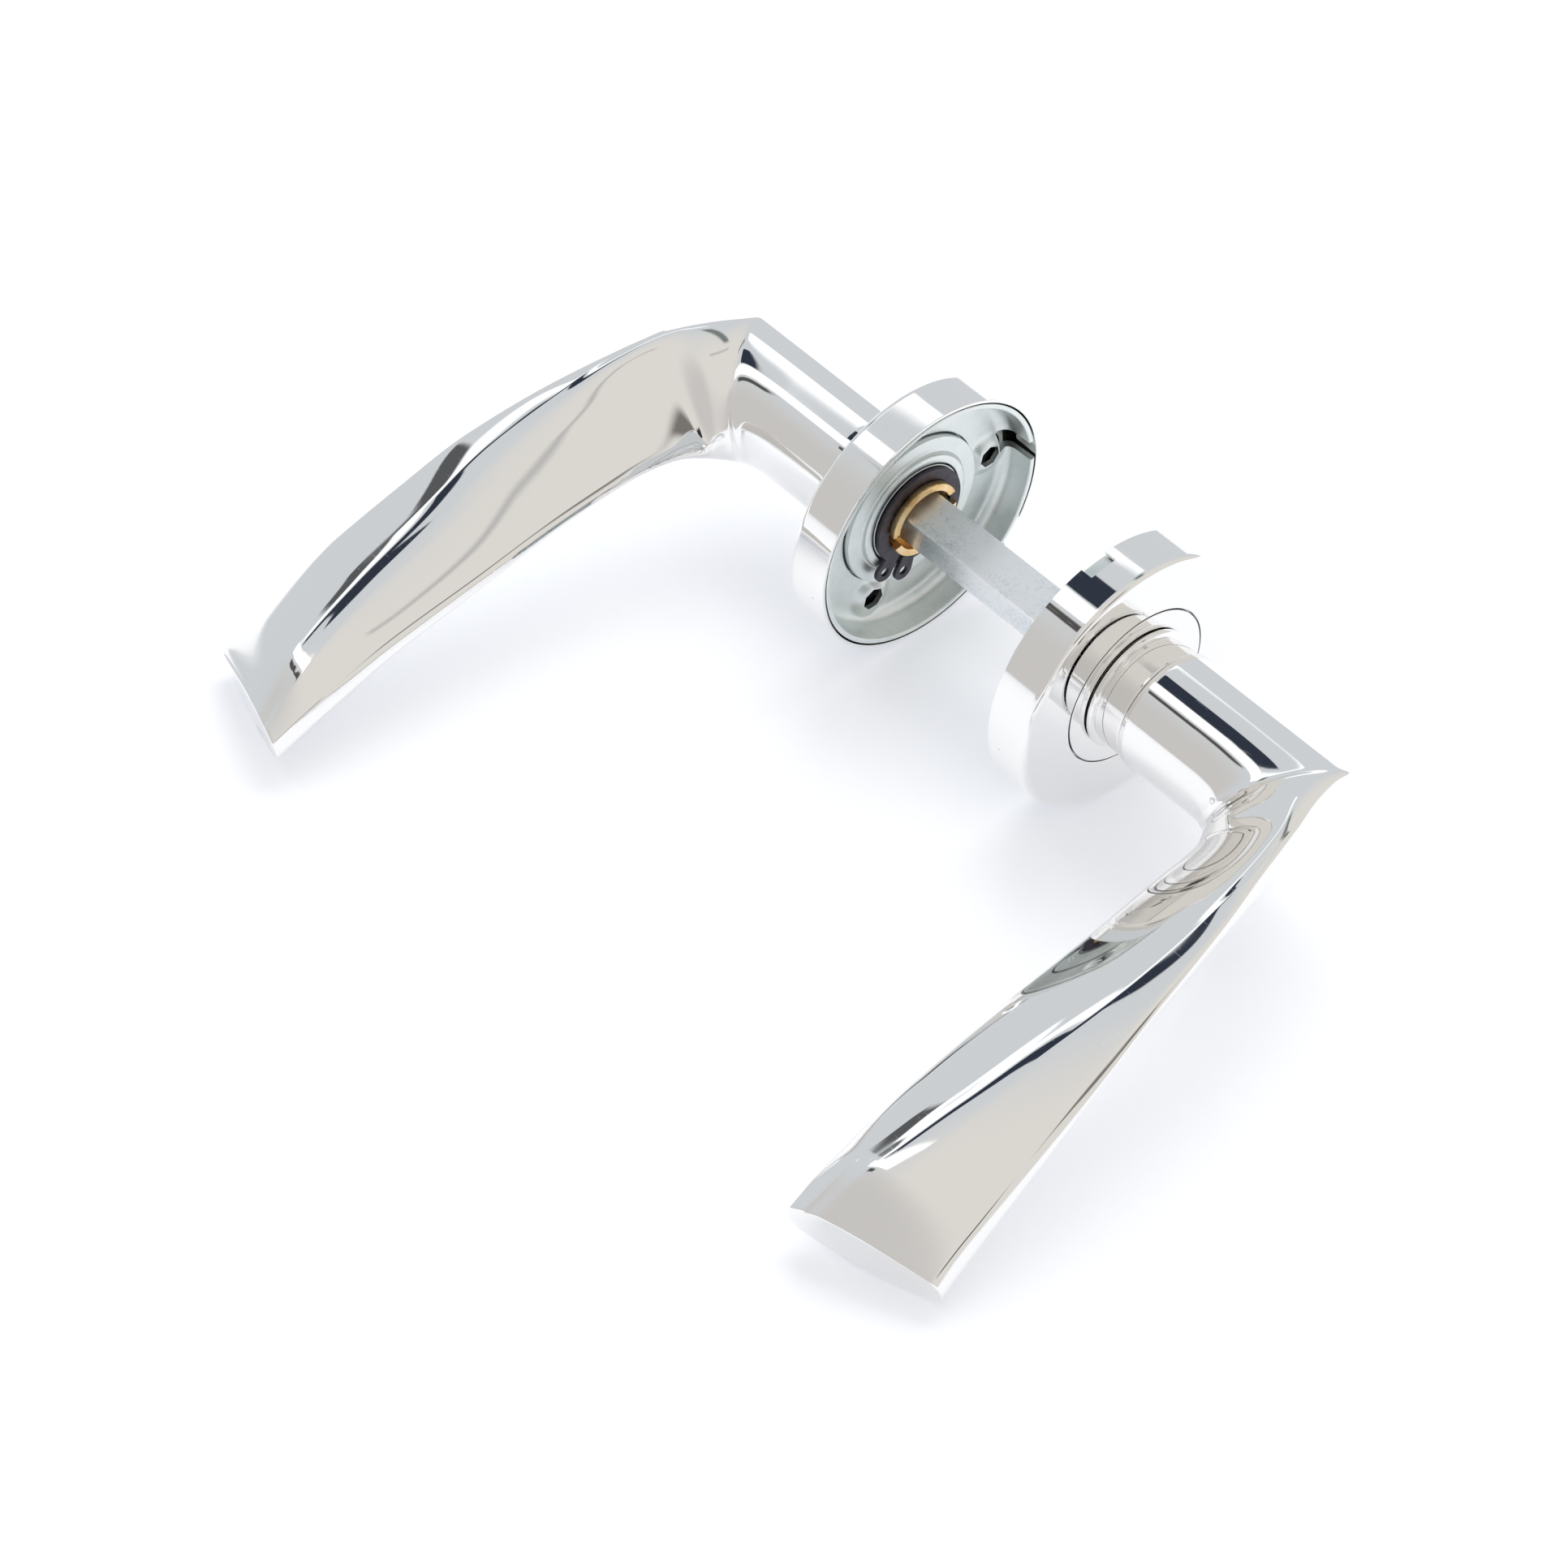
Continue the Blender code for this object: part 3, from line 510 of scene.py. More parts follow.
def polished_chrome(name, wave_height):
    """Hand-polished plating: gentle waves left by the wheel, and a few hairline scratches."""
    material, tree, shader = new_material(name, CHROME, 1.0, 0.03)
    waves = noise(tree, object_place(tree), 130.0, 1.0)
    cloud = noise(tree, object_place(tree), 60.0, 3.0)
    hair = scratches(tree, (0.5, 0.3, 0.9), 5000.0, 0.7)
    cross = scratches(tree, (-0.4, 0.8, -0.6), 4200.0, 0.71)
    marks = node(tree, "ShaderNodeMath", {0: hair, 1: cross}, operation="MAXIMUM").outputs[0]
    wavy = bump(tree, waves, 1.0, wave_height)
    scored = bump(tree, marks, 0.12, SCRATCH_RELIEF_M, wavy)
    tree.links.new(scored, shader.inputs["Normal"])
    haze = remap(tree, cloud, 0.3, 0.7, 0.015, 0.05)
    rough = node(tree, "ShaderNodeMath", {0: marks, 1: 0.07, 2: haze}, operation="MULTIPLY_ADD").outputs[0]
    tree.links.new(rough, shader.inputs["Roughness"])
    return material


def zinc_pressing():
    """Bright zinc plate on pressed steel: cloudy, slightly green, with a faint orange peel."""
    material, tree, shader = new_material("zinc plate", (0.6, 0.64, 0.62), 1.0, 0.3)
    cloud = noise(tree, object_place(tree), 160.0, 4.0, 0.6)
    grain = noise(tree, object_place(tree), 2600.0, 3.0, 0.6)
    tree.links.new(ramp(tree, cloud, [(0.3, (0.68, 0.73, 0.72)), (0.5, (0.77, 0.81, 0.80)),
                                      (0.72, (0.84, 0.87, 0.86))]), shader.inputs["Base Color"])
    tree.links.new(remap(tree, cloud, 0.3, 0.75, 0.30, 0.42), shader.inputs["Roughness"])
    peel = bump(tree, noise(tree, object_place(tree), 500.0, 2.0), 0.5, PEEL_RELIEF_M)
    tree.links.new(bump(tree, grain, 0.35, FINE_RELIEF_M, peel), shader.inputs["Normal"])
    return material


def zinc_bar():
    """Zinc-plated square bar: spangled patches, bluish where the plating is thick, drawn lengthwise."""
    material, tree, shader = new_material("zinc spindle", (0.6, 0.66, 0.70), 1.0, 0.3)
    place = object_place(tree)
    spangle = node(tree, "ShaderNodeTexVoronoi", {"Vector": place, "Scale": 1500.0}).outputs["Distance"]
    cloud = noise(tree, object_place(tree, (0.6, 1.0, 1.0)), 150.0, 5.0, 0.65, 0.4)
    drawn = noise(tree, object_place(tree, (0.03, 1.0, 1.0)), 2600.0, 3.0)
    mottle = node(tree, "ShaderNodeMath", {0: spangle, 1: 0.35, 2: cloud},
                  operation="MULTIPLY_ADD").outputs[0]
    tree.links.new(ramp(tree, mottle, [(0.38, (0.60, 0.66, 0.70)), (0.52, (0.80, 0.84, 0.87)),
                                       (0.72, (0.94, 0.96, 0.98))]), shader.inputs["Base Color"])
    tree.links.new(remap(tree, cloud, 0.3, 0.7, 0.34, 0.50), shader.inputs["Roughness"])
    pitted = bump(tree, mottle, 0.4, PIT_RELIEF_M)
    tree.links.new(bump(tree, drawn, 0.4, DRAWN_RELIEF_M, pitted), shader.inputs["Normal"])
    return material


def turned_brass():
    """Turned brass: tool rings about the axis and tarnish in patches."""
    material, tree, shader = new_material("turned brass", (0.80, 0.55, 0.26), 1.0, 0.28)
    place = node(tree, "ShaderNodeTexCoord").outputs["Object"]
    spread = node(tree, "ShaderNodeVectorMath", {0: place, 1: (0.0, -AXIS_Y * MM, -AXIS_Z * MM)},
                  operation="ADD").outputs[0]
    flat = node(tree, "ShaderNodeVectorMath", {0: spread, 1: (0.0, 1.0, 1.0)},
                operation="MULTIPLY").outputs[0]
    radius = node(tree, "ShaderNodeVectorMath", {0: flat}, operation="LENGTH").outputs["Value"]
    along = node(tree, "ShaderNodeSeparateXYZ", {0: place}).outputs[0]
    both = node(tree, "ShaderNodeMath", {0: radius, 1: along}, operation="ADD").outputs[0]
    wobble = node(tree, "ShaderNodeMath", {0: both, 1: TOOL_RINGS_PER_M}, operation="MULTIPLY").outputs[0]
    rings = node(tree, "ShaderNodeMath", {0: wobble}, operation="SINE").outputs[0]
    tarnish = noise(tree, object_place(tree), 260.0, 4.0, 0.6)
    tree.links.new(ramp(tree, tarnish, [(0.32, (0.62, 0.38, 0.15)), (0.5, (0.83, 0.58, 0.28)),
                                        (0.72, (0.93, 0.72, 0.44))]), shader.inputs["Base Color"])
    tree.links.new(remap(tree, tarnish, 0.3, 0.7, 0.22, 0.36), shader.inputs["Roughness"])
    tree.links.new(bump(tree, rings, 0.3, FINE_RELIEF_M), shader.inputs["Normal"])
    return material


def black_steel():
    """Phosphated spring steel: near black with a violet-grey bloom."""
    material, tree, shader = new_material("black spring steel", (0.05, 0.05, 0.06), 0.5, 0.42)
    bloom = noise(tree, object_place(tree), 420.0, 4.0, 0.65)
    grain = noise(tree, object_place(tree), 6000.0, 2.0)
    tree.links.new(ramp(tree, bloom, [(0.3, (0.022, 0.022, 0.028)), (0.55, (0.055, 0.05, 0.068)),
                                      (0.75, (0.10, 0.095, 0.12))]), shader.inputs["Base Color"])
    tree.links.new(remap(tree, bloom, 0.3, 0.7, 0.34, 0.5), shader.inputs["Roughness"])
    tree.links.new(bump(tree, grain, 0.3, FINE_RELIEF_M), shader.inputs["Normal"])
    return material


def spring_wire():
    """Oiled drawn wire with a fine grain."""
    material, tree, shader = new_material("spring wire", (0.30, 0.30, 0.31), 1.0, 0.3)
    oil = noise(tree, object_place(tree), 300.0, 3.0)
    tree.links.new(ramp(tree, oil, [(0.3, (0.20, 0.20, 0.205)), (0.7, (0.40, 0.40, 0.41))]),
                   shader.inputs["Base Color"])
    tree.links.new(remap(tree, oil, 0.3, 0.7, 0.2, 0.42), shader.inputs["Roughness"])
    grain = noise(tree, object_place(tree), 3000.0, 2.0)
    tree.links.new(bump(tree, grain, 0.2, FINE_RELIEF_M), shader.inputs["Normal"])
    return material


def moulded_nylon():
    """Natural nylon, slightly translucent, with a fine moulded texture."""
    material, tree, shader = new_material("moulded nylon", (0.75, 0.74, 0.70), 0.0, 0.45)
    shader.inputs["Subsurface Weight"].default_value = 0.15
    shader.inputs["Subsurface Radius"].default_value = (0.0015, 0.0013, 0.001)
    grain = noise(tree, object_place(tree), 2400.0, 3.0)
    tone = noise(tree, object_place(tree), 200.0, 2.0)
    tree.links.new(ramp(tree, tone, [(0.3, (0.70, 0.68, 0.62)), (0.7, (0.80, 0.79, 0.75))]),
                   shader.inputs["Base Color"])
    tree.links.new(remap(tree, grain, 0.3, 0.7, 0.38, 0.55), shader.inputs["Roughness"])
    tree.links.new(bump(tree, grain, 0.25, FINE_RELIEF_M), shader.inputs["Normal"])
    return material


MATERIALS = {
    "polished_chrome": polished_chrome("polished chrome", LEVER_WAVES_M),
    "zinc_plate": zinc_pressing(),
    "zinc_spindle": zinc_bar(),
    "brass": turned_brass(),
    "black_spring_steel": black_steel(),
    "spring_wire": spring_wire(),
    "nylon": moulded_nylon(),
}
WAVY_CHROME = polished_chrome("polished chrome pressing", ROSE_WAVES_M)


def add(obj, body, node_name, slot, material=None):
    """Gives a piece its material, chosen by slot unless one is given, and its body, and hides its CAD node.
    """
    obj.data.materials.clear()
    obj.data.materials.append(material or MATERIALS[slot])
    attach(obj, body)
    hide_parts(node_name)


# ---------------------------------------------------------------- the rose

def rose_cover(side, direction):
    cover = turned(f"cover_shell_{side}", COVER_PROFILE, direction, STEPS_LARGE)
    notch = box_cutter(direction, COVER_NOTCH_ANGLE[side],
                       (COVER_NOTCH_REACH, COVER_NOTCH_WIDTH, 2 * COVER_NOTCH_DEPTH), (ROSE_RADIUS, 0.0, 0.0))
    centre = on_axis(direction, ROSE_RADIUS + DIMPLE_RADIUS - DIMPLE_DEPTH, DIMPLE_ANGLE, DIMPLE_PLACE)
    bm = bmesh.new()
    bmesh.ops.create_uvsphere(bm, u_segments=DIMPLE_SIDES, v_segments=DIMPLE_RINGS,
                              radius=DIMPLE_RADIUS * MM)
    dimple = linked(bm, Matrix.Translation(centre))
    carve(cover, [notch, dimple])
    flat_normals(cover)
    add(cover, f"cover_{side}", f"rose_cover_{side}", "polished_chrome", WAVY_CHROME)


def boss_shift(radius, angle, place):
    """Presses a low cone round each screw hole, back towards the door."""
    boss_edge = PLATE_HOLE_CIRCLE + PLATE_BOSS_RADIUS
    if radius > boss_edge or place < PLATE_BOSS_FROM:
        return 0.0
    for hole_angle in PLATE_HOLE_ANGLES:
        gap = radians(angle - hole_angle)
        distance = sqrt(radius**2 + PLATE_HOLE_CIRCLE**2 - 2 * radius * PLATE_HOLE_CIRCLE * cos(gap))
        if distance < PLATE_BOSS_RADIUS:
            rise = min((PLATE_BOSS_RADIUS - distance) / (PLATE_BOSS_RADIUS - PLATE_BOSS_TOP), 1.0)
            to_rim = min(boss_edge - radius, radius - PLATE_INNER)
            fade = min(to_rim / PLATE_BOSS_FADE, 1.0)
            return -PLATE_BOSS_HEIGHT * rise * max(fade, 0.0)
    return 0.0


def rose_plate(side, direction):
    plate = turned(f"backing_plate_{side}", PLATE_PROFILE, direction, STEPS_LARGE,
                   longest=PLATE_LONGEST_STEP, shift=boss_shift)
    outward = Vector((direction, 0.0, 0.0))
    cutters = []
    for angle in PLATE_HOLE_ANGLES:
        centre = on_axis(direction, PLATE_HOLE_CIRCLE, angle, PLATE_HOLE_PLACE)
        cutters.append(round_cutter(centre, outward, PLATE_HOLE_RADIUS, PLATE_HOLE_LENGTH, PLATE_HOLE_SIDES))
    depth = ROSE_RADIUS + CUTTER_MARGIN - PLATE_NOTCH_FLOOR
    cutters.append(box_cutter(direction, PLATE_NOTCH_ANGLE,
                              (depth, PLATE_NOTCH_WIDTH, 2 * PLATE_NOTCH_DEPTH),
                              (PLATE_NOTCH_FLOOR + depth / 2, 0.0, 0.0)))
    carve(plate, cutters)
    flat_normals(plate)
    add(plate, f"rose_{side}", f"rose_plate_{side}", "zinc_plate")


def return_spring(side, direction):
    """The flat spiral, its inner end bent in towards the driver."""
    count = SPRING_STEPS_PER_TURN * SPRING_TURNS
    points = [on_axis(direction, SPRING_INNER_LEG, SPRING_ANGLE, SPRING_PLACE)]
    for i in range(count + 1):
        radius = SPRING_INNER + (SPRING_OUTER - SPRING_INNER) * i / count
        turn = SPRING_ANGLE + 360.0 * i / SPRING_STEPS_PER_TURN
        points.append(on_axis(direction, radius, turn, SPRING_PLACE))
    curve = bpy.data.curves.new(f"coiled_wire_{side}", "CURVE")
    curve.dimensions = "3D"
    curve.bevel_depth = WIRE_RADIUS * MM
    curve.bevel_resolution = 4
    curve.use_fill_caps = True
    spline = curve.splines.new("POLY")
    spline.points.add(len(points) - 1)
    for point, place in zip(spline.points, points):
        point.co = (*place, 1.0)
    spring = bpy.data.objects.new(f"coiled_wire_{side}", curve)
    bpy.context.scene.collection.objects.link(spring)
    add(spring, f"rose_{side}", f"return_spring_{side}", "spring_wire")


def rose(side, direction):
    body = f"rose_{side}"
    rose_cover(side, direction)
    rose_plate(side, direction)
    add(turned(f"housing_cup_{side}", HOUSING_PROFILE, direction, STEPS_LARGE), body,
        f"spring_housing_{side}", "zinc_plate")
    add(turned(f"housing_face_{side}", HOUSING_FRONT_PROFILE, direction, STEPS_LARGE), body,
        f"spring_housing_{side}", "polished_chrome")
    add(turned(f"outer_bush_{side}", FRONT_BUSH_PROFILE, direction, STEPS_SMALL), body,
        f"front_bush_{side}", "nylon")
    add(turned(f"inner_bush_{side}", BACK_BUSH_PROFILE, direction, STEPS_SMALL), body,
        f"back_bush_{side}", "nylon")
    return_spring(side, direction)


# ---------------------------------------------------------------- the handle

def handle_down(direction):
    """Straight down in the handle's own axes, as a unit vector of the row frame."""
    below = on_handle(direction, (0.0, 0.0, -1.0))
    return (below - on_handle(direction, (0.0, 0.0, 0.0))).normalized()


def grub_cutter(direction):
    centre = on_handle(direction, (DOOR_FACE + GRUB_PLACE, 0.0, -NECK_BORE))
    return round_cutter(centre, handle_down(direction), GRUB_RADIUS + CLEARANCE, GRUB_HOLE_LENGTH)


def spindle_socket(side, direction):
    socket = turned(f"slotted_sleeve_{side}", SOCKET_PROFILE, direction, STEPS_MEDIUM, closed=False)
    length = SOCKET_END - SOCKET_STEP + 2 * CUTTER_MARGIN
    square = box_cutter(direction, DROOP, (SQUARE_HOLE, SQUARE_HOLE, length),
                        (0.0, 0.0, SOCKET_STEP - CUTTER_MARGIN + length / 2))
    slots = box_cutter(direction, DROOP, (SLOT_REACH, SLOT_WIDTH, 2 * SLOT_END), (0.0, 0.0, 0.0))
    carve(socket, [square, slots, grub_cutter(direction)])
    flat_normals(socket)
    add(socket, f"handle_{side}", f"spindle_socket_{side}", "brass")


def grub_screw(side, direction):
    """Set screw: a fine thread turned as grooves, and a hexagon key socket."""
    place = GRUB_INNER_END + GRUB_LEAD
    root = GRUB_RADIUS - THREAD_DEPTH
    rows = [(GRUB_RADIUS - GRUB_POINT, GRUB_INNER_END), (root, place)]
    while place + THREAD_PITCH < GRUB_OUTER_END - GRUB_RUNOUT:
        rows.append((GRUB_RADIUS, place + THREAD_PITCH * 0.5))
        rows.append((root, place + THREAD_PITCH))
        place += THREAD_PITCH
    rows.append((root, GRUB_OUTER_END))
    vertices = []
    for radius, height in rows:
        for i in range(STEPS_SCREW):
            turn = 2 * pi * i / STEPS_SCREW
            vertices.append(on_handle(direction, (DOOR_FACE + GRUB_PLACE + radius * cos(turn),
                                                  radius * sin(turn), -height)))
    screw = mesh_piece(f"set_screw_{side}", vertices, looped_faces(len(rows), STEPS_SCREW))
    mouth = on_handle(direction, (DOOR_FACE + GRUB_PLACE, 0.0, -GRUB_OUTER_END))
    key = round_cutter(mouth, handle_down(direction), GRUB_KEY / sqrt(3), 2 * GRUB_KEY_DEPTH, STEPS_HEXAGON)
    carve(screw, [key])
    add(screw, f"handle_{side}", f"grub_screw_{side}", "black_spring_steel")


def arc(radius, start, stop, count, centre=(0.0, 0.0)):
    """Points from one angle to another, in degrees."""
    angles = [radians(start + (stop - start) * i / (count - 1)) for i in range(count)]
    return [(centre[0] + radius * cos(a), centre[1] + radius * sin(a)) for a in angles]


def flat_shape(name, outlines, back, front, direction, angle, edge):
    """A flat plate with rounded edges from closed outlines, turned to an angle on the axis."""
    curve = bpy.data.curves.new(name, "CURVE")
    curve.dimensions = "2D"
    curve.fill_mode = "BOTH"
    curve.extrude = ((front - back) / 2 - edge) * MM
    curve.bevel_depth = edge * MM
    curve.bevel_resolution = 2
    curve.offset = -edge * MM
    for outline in outlines:
        spline = curve.splines.new("POLY")
        spline.points.add(len(outline) - 1)
        for point, (x, y) in zip(spline.points, outline):
            point.co = (x * MM, y * MM, 0.0, 1.0)
        spline.use_cyclic_u = True
    source = bpy.data.objects.new(name, curve)
    bpy.context.scene.collection.objects.link(source)
    mesh = bpy.data.meshes.new_from_object(source.evaluated_get(bpy.context.evaluated_depsgraph_get()))
    bpy.data.objects.remove(source, do_unlink=True)
    middle = (front + back) / 2
    for vertex in mesh.vertices:
        x, y, z = vertex.co / MM
        vertex.co = on_axis(direction, hypot(x, y), angle + degrees(atan2(y, x)), middle + z)
    bm = bmesh.new()
    bm.from_mesh(mesh)
    bmesh.ops.remove_doubles(bm, verts=bm.verts, dist=WELD_M)
    bmesh.ops.recalc_face_normals(bm, faces=bm.faces)
    bm.to_mesh(mesh)
    bm.free()
    mesh.shade_smooth()
    mesh.set_sharp_from_angle(angle=radians(FLAT_SMOOTH_ANGLE))
    obj = bpy.data.objects.new(name, mesh)
    bpy.context.scene.collection.objects.link(obj)
    flat_normals(obj)
    return obj


def circlip(side, direction):
    """External retaining ring: an open ring with two drilled lugs at its gap."""
    side_angle = CLIP_LUG_OFFSET + CLIP_LUG_SHOULDER
    lugs = []
    for sign in (-1, 1):
        angle = radians(sign * CLIP_LUG_OFFSET)
        lugs.append((CLIP_LUG_PLACE * cos(angle), CLIP_LUG_PLACE * sin(angle)))
    outline = arc(CLIP_OUTER, side_angle, 360.0 - side_angle, CLIP_RING_POINTS)
    outline += arc(CLIP_LUG_RADIUS, -CLIP_LUG_OFFSET - 90.0, -CLIP_LUG_OFFSET + CLIP_LUG_SWEEP,
                   CLIP_LUG_POINTS, lugs[0])
    outline += arc(CLIP_INNER, -CLIP_HALF_GAP, -360.0 + CLIP_HALF_GAP, CLIP_RING_POINTS)
    outline += arc(CLIP_LUG_RADIUS, CLIP_LUG_OFFSET - CLIP_LUG_SWEEP, CLIP_LUG_OFFSET + 90.0,
                   CLIP_LUG_POINTS, lugs[1])
    last_angle = 360.0 - 360.0 / CLIP_HOLE_POINTS
    holes = [arc(CLIP_LUG_HOLE, 0.0, last_angle, CLIP_HOLE_POINTS, centre) for centre in lugs]
    clip = flat_shape(f"retaining_ring_{side}", [outline] + holes, CLIP_BACK, CLIP_FRONT, direction,
                      CLIP_GAP_ANGLE + DROOP, CLIP_BLUNTING)
    add(clip, f"handle_{side}", f"circlip_{side}", "black_spring_steel")


def spring_driver(side, direction):
    """Washer keyed in the socket's slots, with one tab that carries the spring's inner end."""
    tab_gap = CLEARANCE + WIRE_RADIUS + DRIVER_TAB_WIDTH / 2
    tab_angle = SPRING_ANGLE - degrees(tab_gap / DRIVER_TAB_REACH) - DROOP
    tab_half = degrees(atan2(DRIVER_TAB_WIDTH / 2, DRIVER_OUTER))
    tip_half = degrees(atan2(DRIVER_TAB_WIDTH / 2, DRIVER_TAB_REACH))
    outer = arc(DRIVER_OUTER, tab_half, 360.0 - tab_half, DRIVER_RING_POINTS)
    outer += arc(DRIVER_TAB_REACH, -tip_half, tip_half, DRIVER_TIP_POINTS)
    key_half = degrees(atan2(DRIVER_KEY_WIDTH / 2, NECK_BORE))
    key_tip = degrees(atan2(DRIVER_KEY_WIDTH / 2, DRIVER_KEY_REACH))
    inner = []
    for middle in (-tab_angle, 180.0 - tab_angle):
        inner += arc(DRIVER_KEY_REACH, middle - key_tip, middle + key_tip, DRIVER_TIP_POINTS)
        inner += arc(NECK_BORE, middle + key_half, middle + 180.0 - key_half, DRIVER_RING_POINTS // 2)
    driver = flat_shape(f"keyed_washer_{side}", [outer, inner], DRIVER_BACK, DRIVER_FRONT, direction,
                        tab_angle + DROOP, DRIVER_BLUNTING)
    add(driver, f"handle_{side}", f"spring_driver_{side}", "zinc_plate")


def smooth_slopes(knots, values):
    """Slopes of a curve through the values that never overshoots them."""
    steps = [b - a for a, b in zip(knots, knots[1:])]
    rises = [(b - a) / step for a, b, step in zip(values, values[1:], steps)]
    slopes = [rises[0]]
    for i in range(1, len(rises)):
        before, after = rises[i - 1], rises[i]
        if before * after <= 0.0:
            slopes.append(0.0)
            continue
        weight_before = 2 * steps[i] + steps[i - 1]
        weight_after = steps[i] + 2 * steps[i - 1]
        slopes.append((weight_before + weight_after) / (weight_before / before + weight_after / after))
    slopes.append(rises[-1])
    return slopes


def smooth_value(knots, values, slopes, place):
    i = 0
    while i < len(knots) - 2 and place > knots[i + 1]:
        i += 1
    step = knots[i + 1] - knots[i]
    t = (place - knots[i]) / step
    return ((2 * t**3 - 3 * t**2 + 1) * values[i] + (t**3 - 2 * t**2 + t) * step * slopes[i]
            + (3 * t**2 - 2 * t**3) * values[i + 1] + (t**3 - t**2) * step * slopes[i + 1])


def flat_row(section):
    inner, outer, rise, drop, *rest = section
    return [*inner, *outer, *rise, *drop, *rest]


def lever_rows():
    """The lever's sections, evenly spaced along it from the end of the straight neck."""
    rows = [flat_row(section) for section in LEVER_SECTIONS]
    knots = [0.0]
    for a, b in zip(rows, rows[1:]):
        middle_a = Vector(a[0:3]) + Vector(a[3:6])
        middle_b = Vector(b[0:3]) + Vector(b[3:6])
        knots.append(knots[-1] + max((middle_b - middle_a).length / 2, SHORTEST_STEP))
    columns = list(zip(*rows))
    slopes = [smooth_slopes(knots, column) for column in columns]
    places = [knots[1] * i / LEVER_NECK_RINGS for i in range(1, LEVER_NECK_RINGS)]
    places += [knots[1] + (knots[-1] - knots[1]) * i / (LEVER_RINGS - 1) for i in range(LEVER_RINGS)]
    return [[smooth_value(knots, column, slope, place) for column, slope in zip(columns, slopes)]
            for place in places]


def tent(u, softness):
    """A roof over -1..1 with a rounded ridge at 0."""
    edge = sqrt(1.0 + softness**2)
    return (edge - sqrt(u * u + softness**2)) / (edge - softness)


def gable(place, ridge, softness):
    """A roof over -1..1 with straight sides that meet at the ridge in a rounded fold."""
    def folded(left, right):
        return (left + right - sqrt((left - right) ** 2 + softness**2)) / 2

    value = folded((1 + place) / (1 + ridge), (1 - place) / (1 - ridge))
    start = folded(0.0, 2 / (1 - ridge))
    end = folded(2 / (1 + ridge), 0.0)
    return value - start * (1 - place) / 2 - end * (1 + place) / 2


def section_points(row):
    """One closed section of the lever, round at the neck and a blunt-edged lens at the grip."""
    inner, outer, rise, drop = (Vector(row[i:i + 3]) for i in (0, 3, 6, 9))
    ridge_shift, keel_shift, softness, lens, blunt_in, blunt_out = row[12:]
    reach = (outer - inner) / 2
    centre = (inner + outer) / 2
    points = []
    for i in range(LEVER_POINTS):
        angle = 2 * pi * i / LEVER_POINTS
        u, s = cos(angle), sin(angle)
        above = s >= 0.0
        along = u + (ridge_shift if above else keel_shift) * tent(u, SHIFT_SOFTNESS)
        roof = gable(along, ridge_shift, softness) if above else tent(u, KEEL_SOFTNESS)
        blunt = (blunt_in if u < 0.0 else blunt_out) * min(abs(u) / RIDGE_BAND, 1.0)
        edge = min(abs(s) / sin(EDGE_STRIP), 1.0)
        rounded = sqrt(max(1.0 - along**2, 0.0))
        height = (1.0 - lens) * rounded + lens * (blunt * edge + (1.0 - blunt) * roof)
        points.append(centre + reach * along + (rise if above else drop) * height)
    return points


def neck_ring(radius, x):
    """A round ring of the neck, with the same points as a lever section."""
    return [Vector((x, point.y * radius / NECK_RADIUS, point.z * radius / NECK_RADIUS))
            for point in section_points(flat_row(LEVER_SECTIONS[0]))]


def tip_rings(last, outward):
    """The tip's softened edge: the last section drawn in along an arc."""
    centre = sum(last, Vector()) / len(last)
    rings = []
    for k in range(1, FILLET_STEPS + 1):
        turn = pi / 2 * k / FILLET_STEPS
        inset = TIP_EDGE * (1 - cos(turn))
        forth = TIP_EDGE * (sin(turn) - 1)
        ring = []
        for point in last:
            inward = centre - point
            inward -= outward * inward.dot(outward)
            ring.append(point + inward.normalized() * inset + outward * forth)
        rings.append(ring)
    return rings


def lever(side, direction):
    """One closed skin: the blind bore, the neck's rounded start, the grip and its tip."""
    start = DOOR_FACE + NECK_START
    bore_end = DOOR_FACE + NECK_BORE_END
    rings = [neck_ring(NECK_BORE, bore_end), neck_ring(NECK_BORE, start + NECK_EDGE)]
    for k in range(1, FILLET_STEPS + 1):
        turn = pi / 2 * k / FILLET_STEPS
        rings.append(neck_ring(NECK_BORE + NECK_EDGE * (1 - cos(turn)),
                               start + NECK_EDGE * (1 - sin(turn))))
    for k in range(FILLET_STEPS + 1):
        turn = pi / 2 * k / FILLET_STEPS
        rings.append(neck_ring(NECK_RADIUS - NECK_EDGE * (1 - sin(turn)),
                               start + NECK_EDGE * (1 - cos(turn))))
    sections = [section_points(row) for row in lever_rows()]
    outward = (sum(sections[-1], Vector()) - sum(sections[-2], Vector())).normalized()
    rings += sections[:-1]
    rings.append([point - outward * TIP_EDGE for point in sections[-1]])
    rings += tip_rings(sections[-1], outward)
    vertices = [on_handle(direction, point) for ring in rings for point in ring]
    faces = looped_faces(len(rings), LEVER_POINTS)
    obj = mesh_piece(f"grip_{side}", vertices, faces, LEVER_SMOOTH_ANGLE)
    carve(obj, [grub_cutter(direction)], LEVER_SMOOTH_ANGLE)
    add(obj, f"handle_{side}", f"lever_{side}", "polished_chrome")


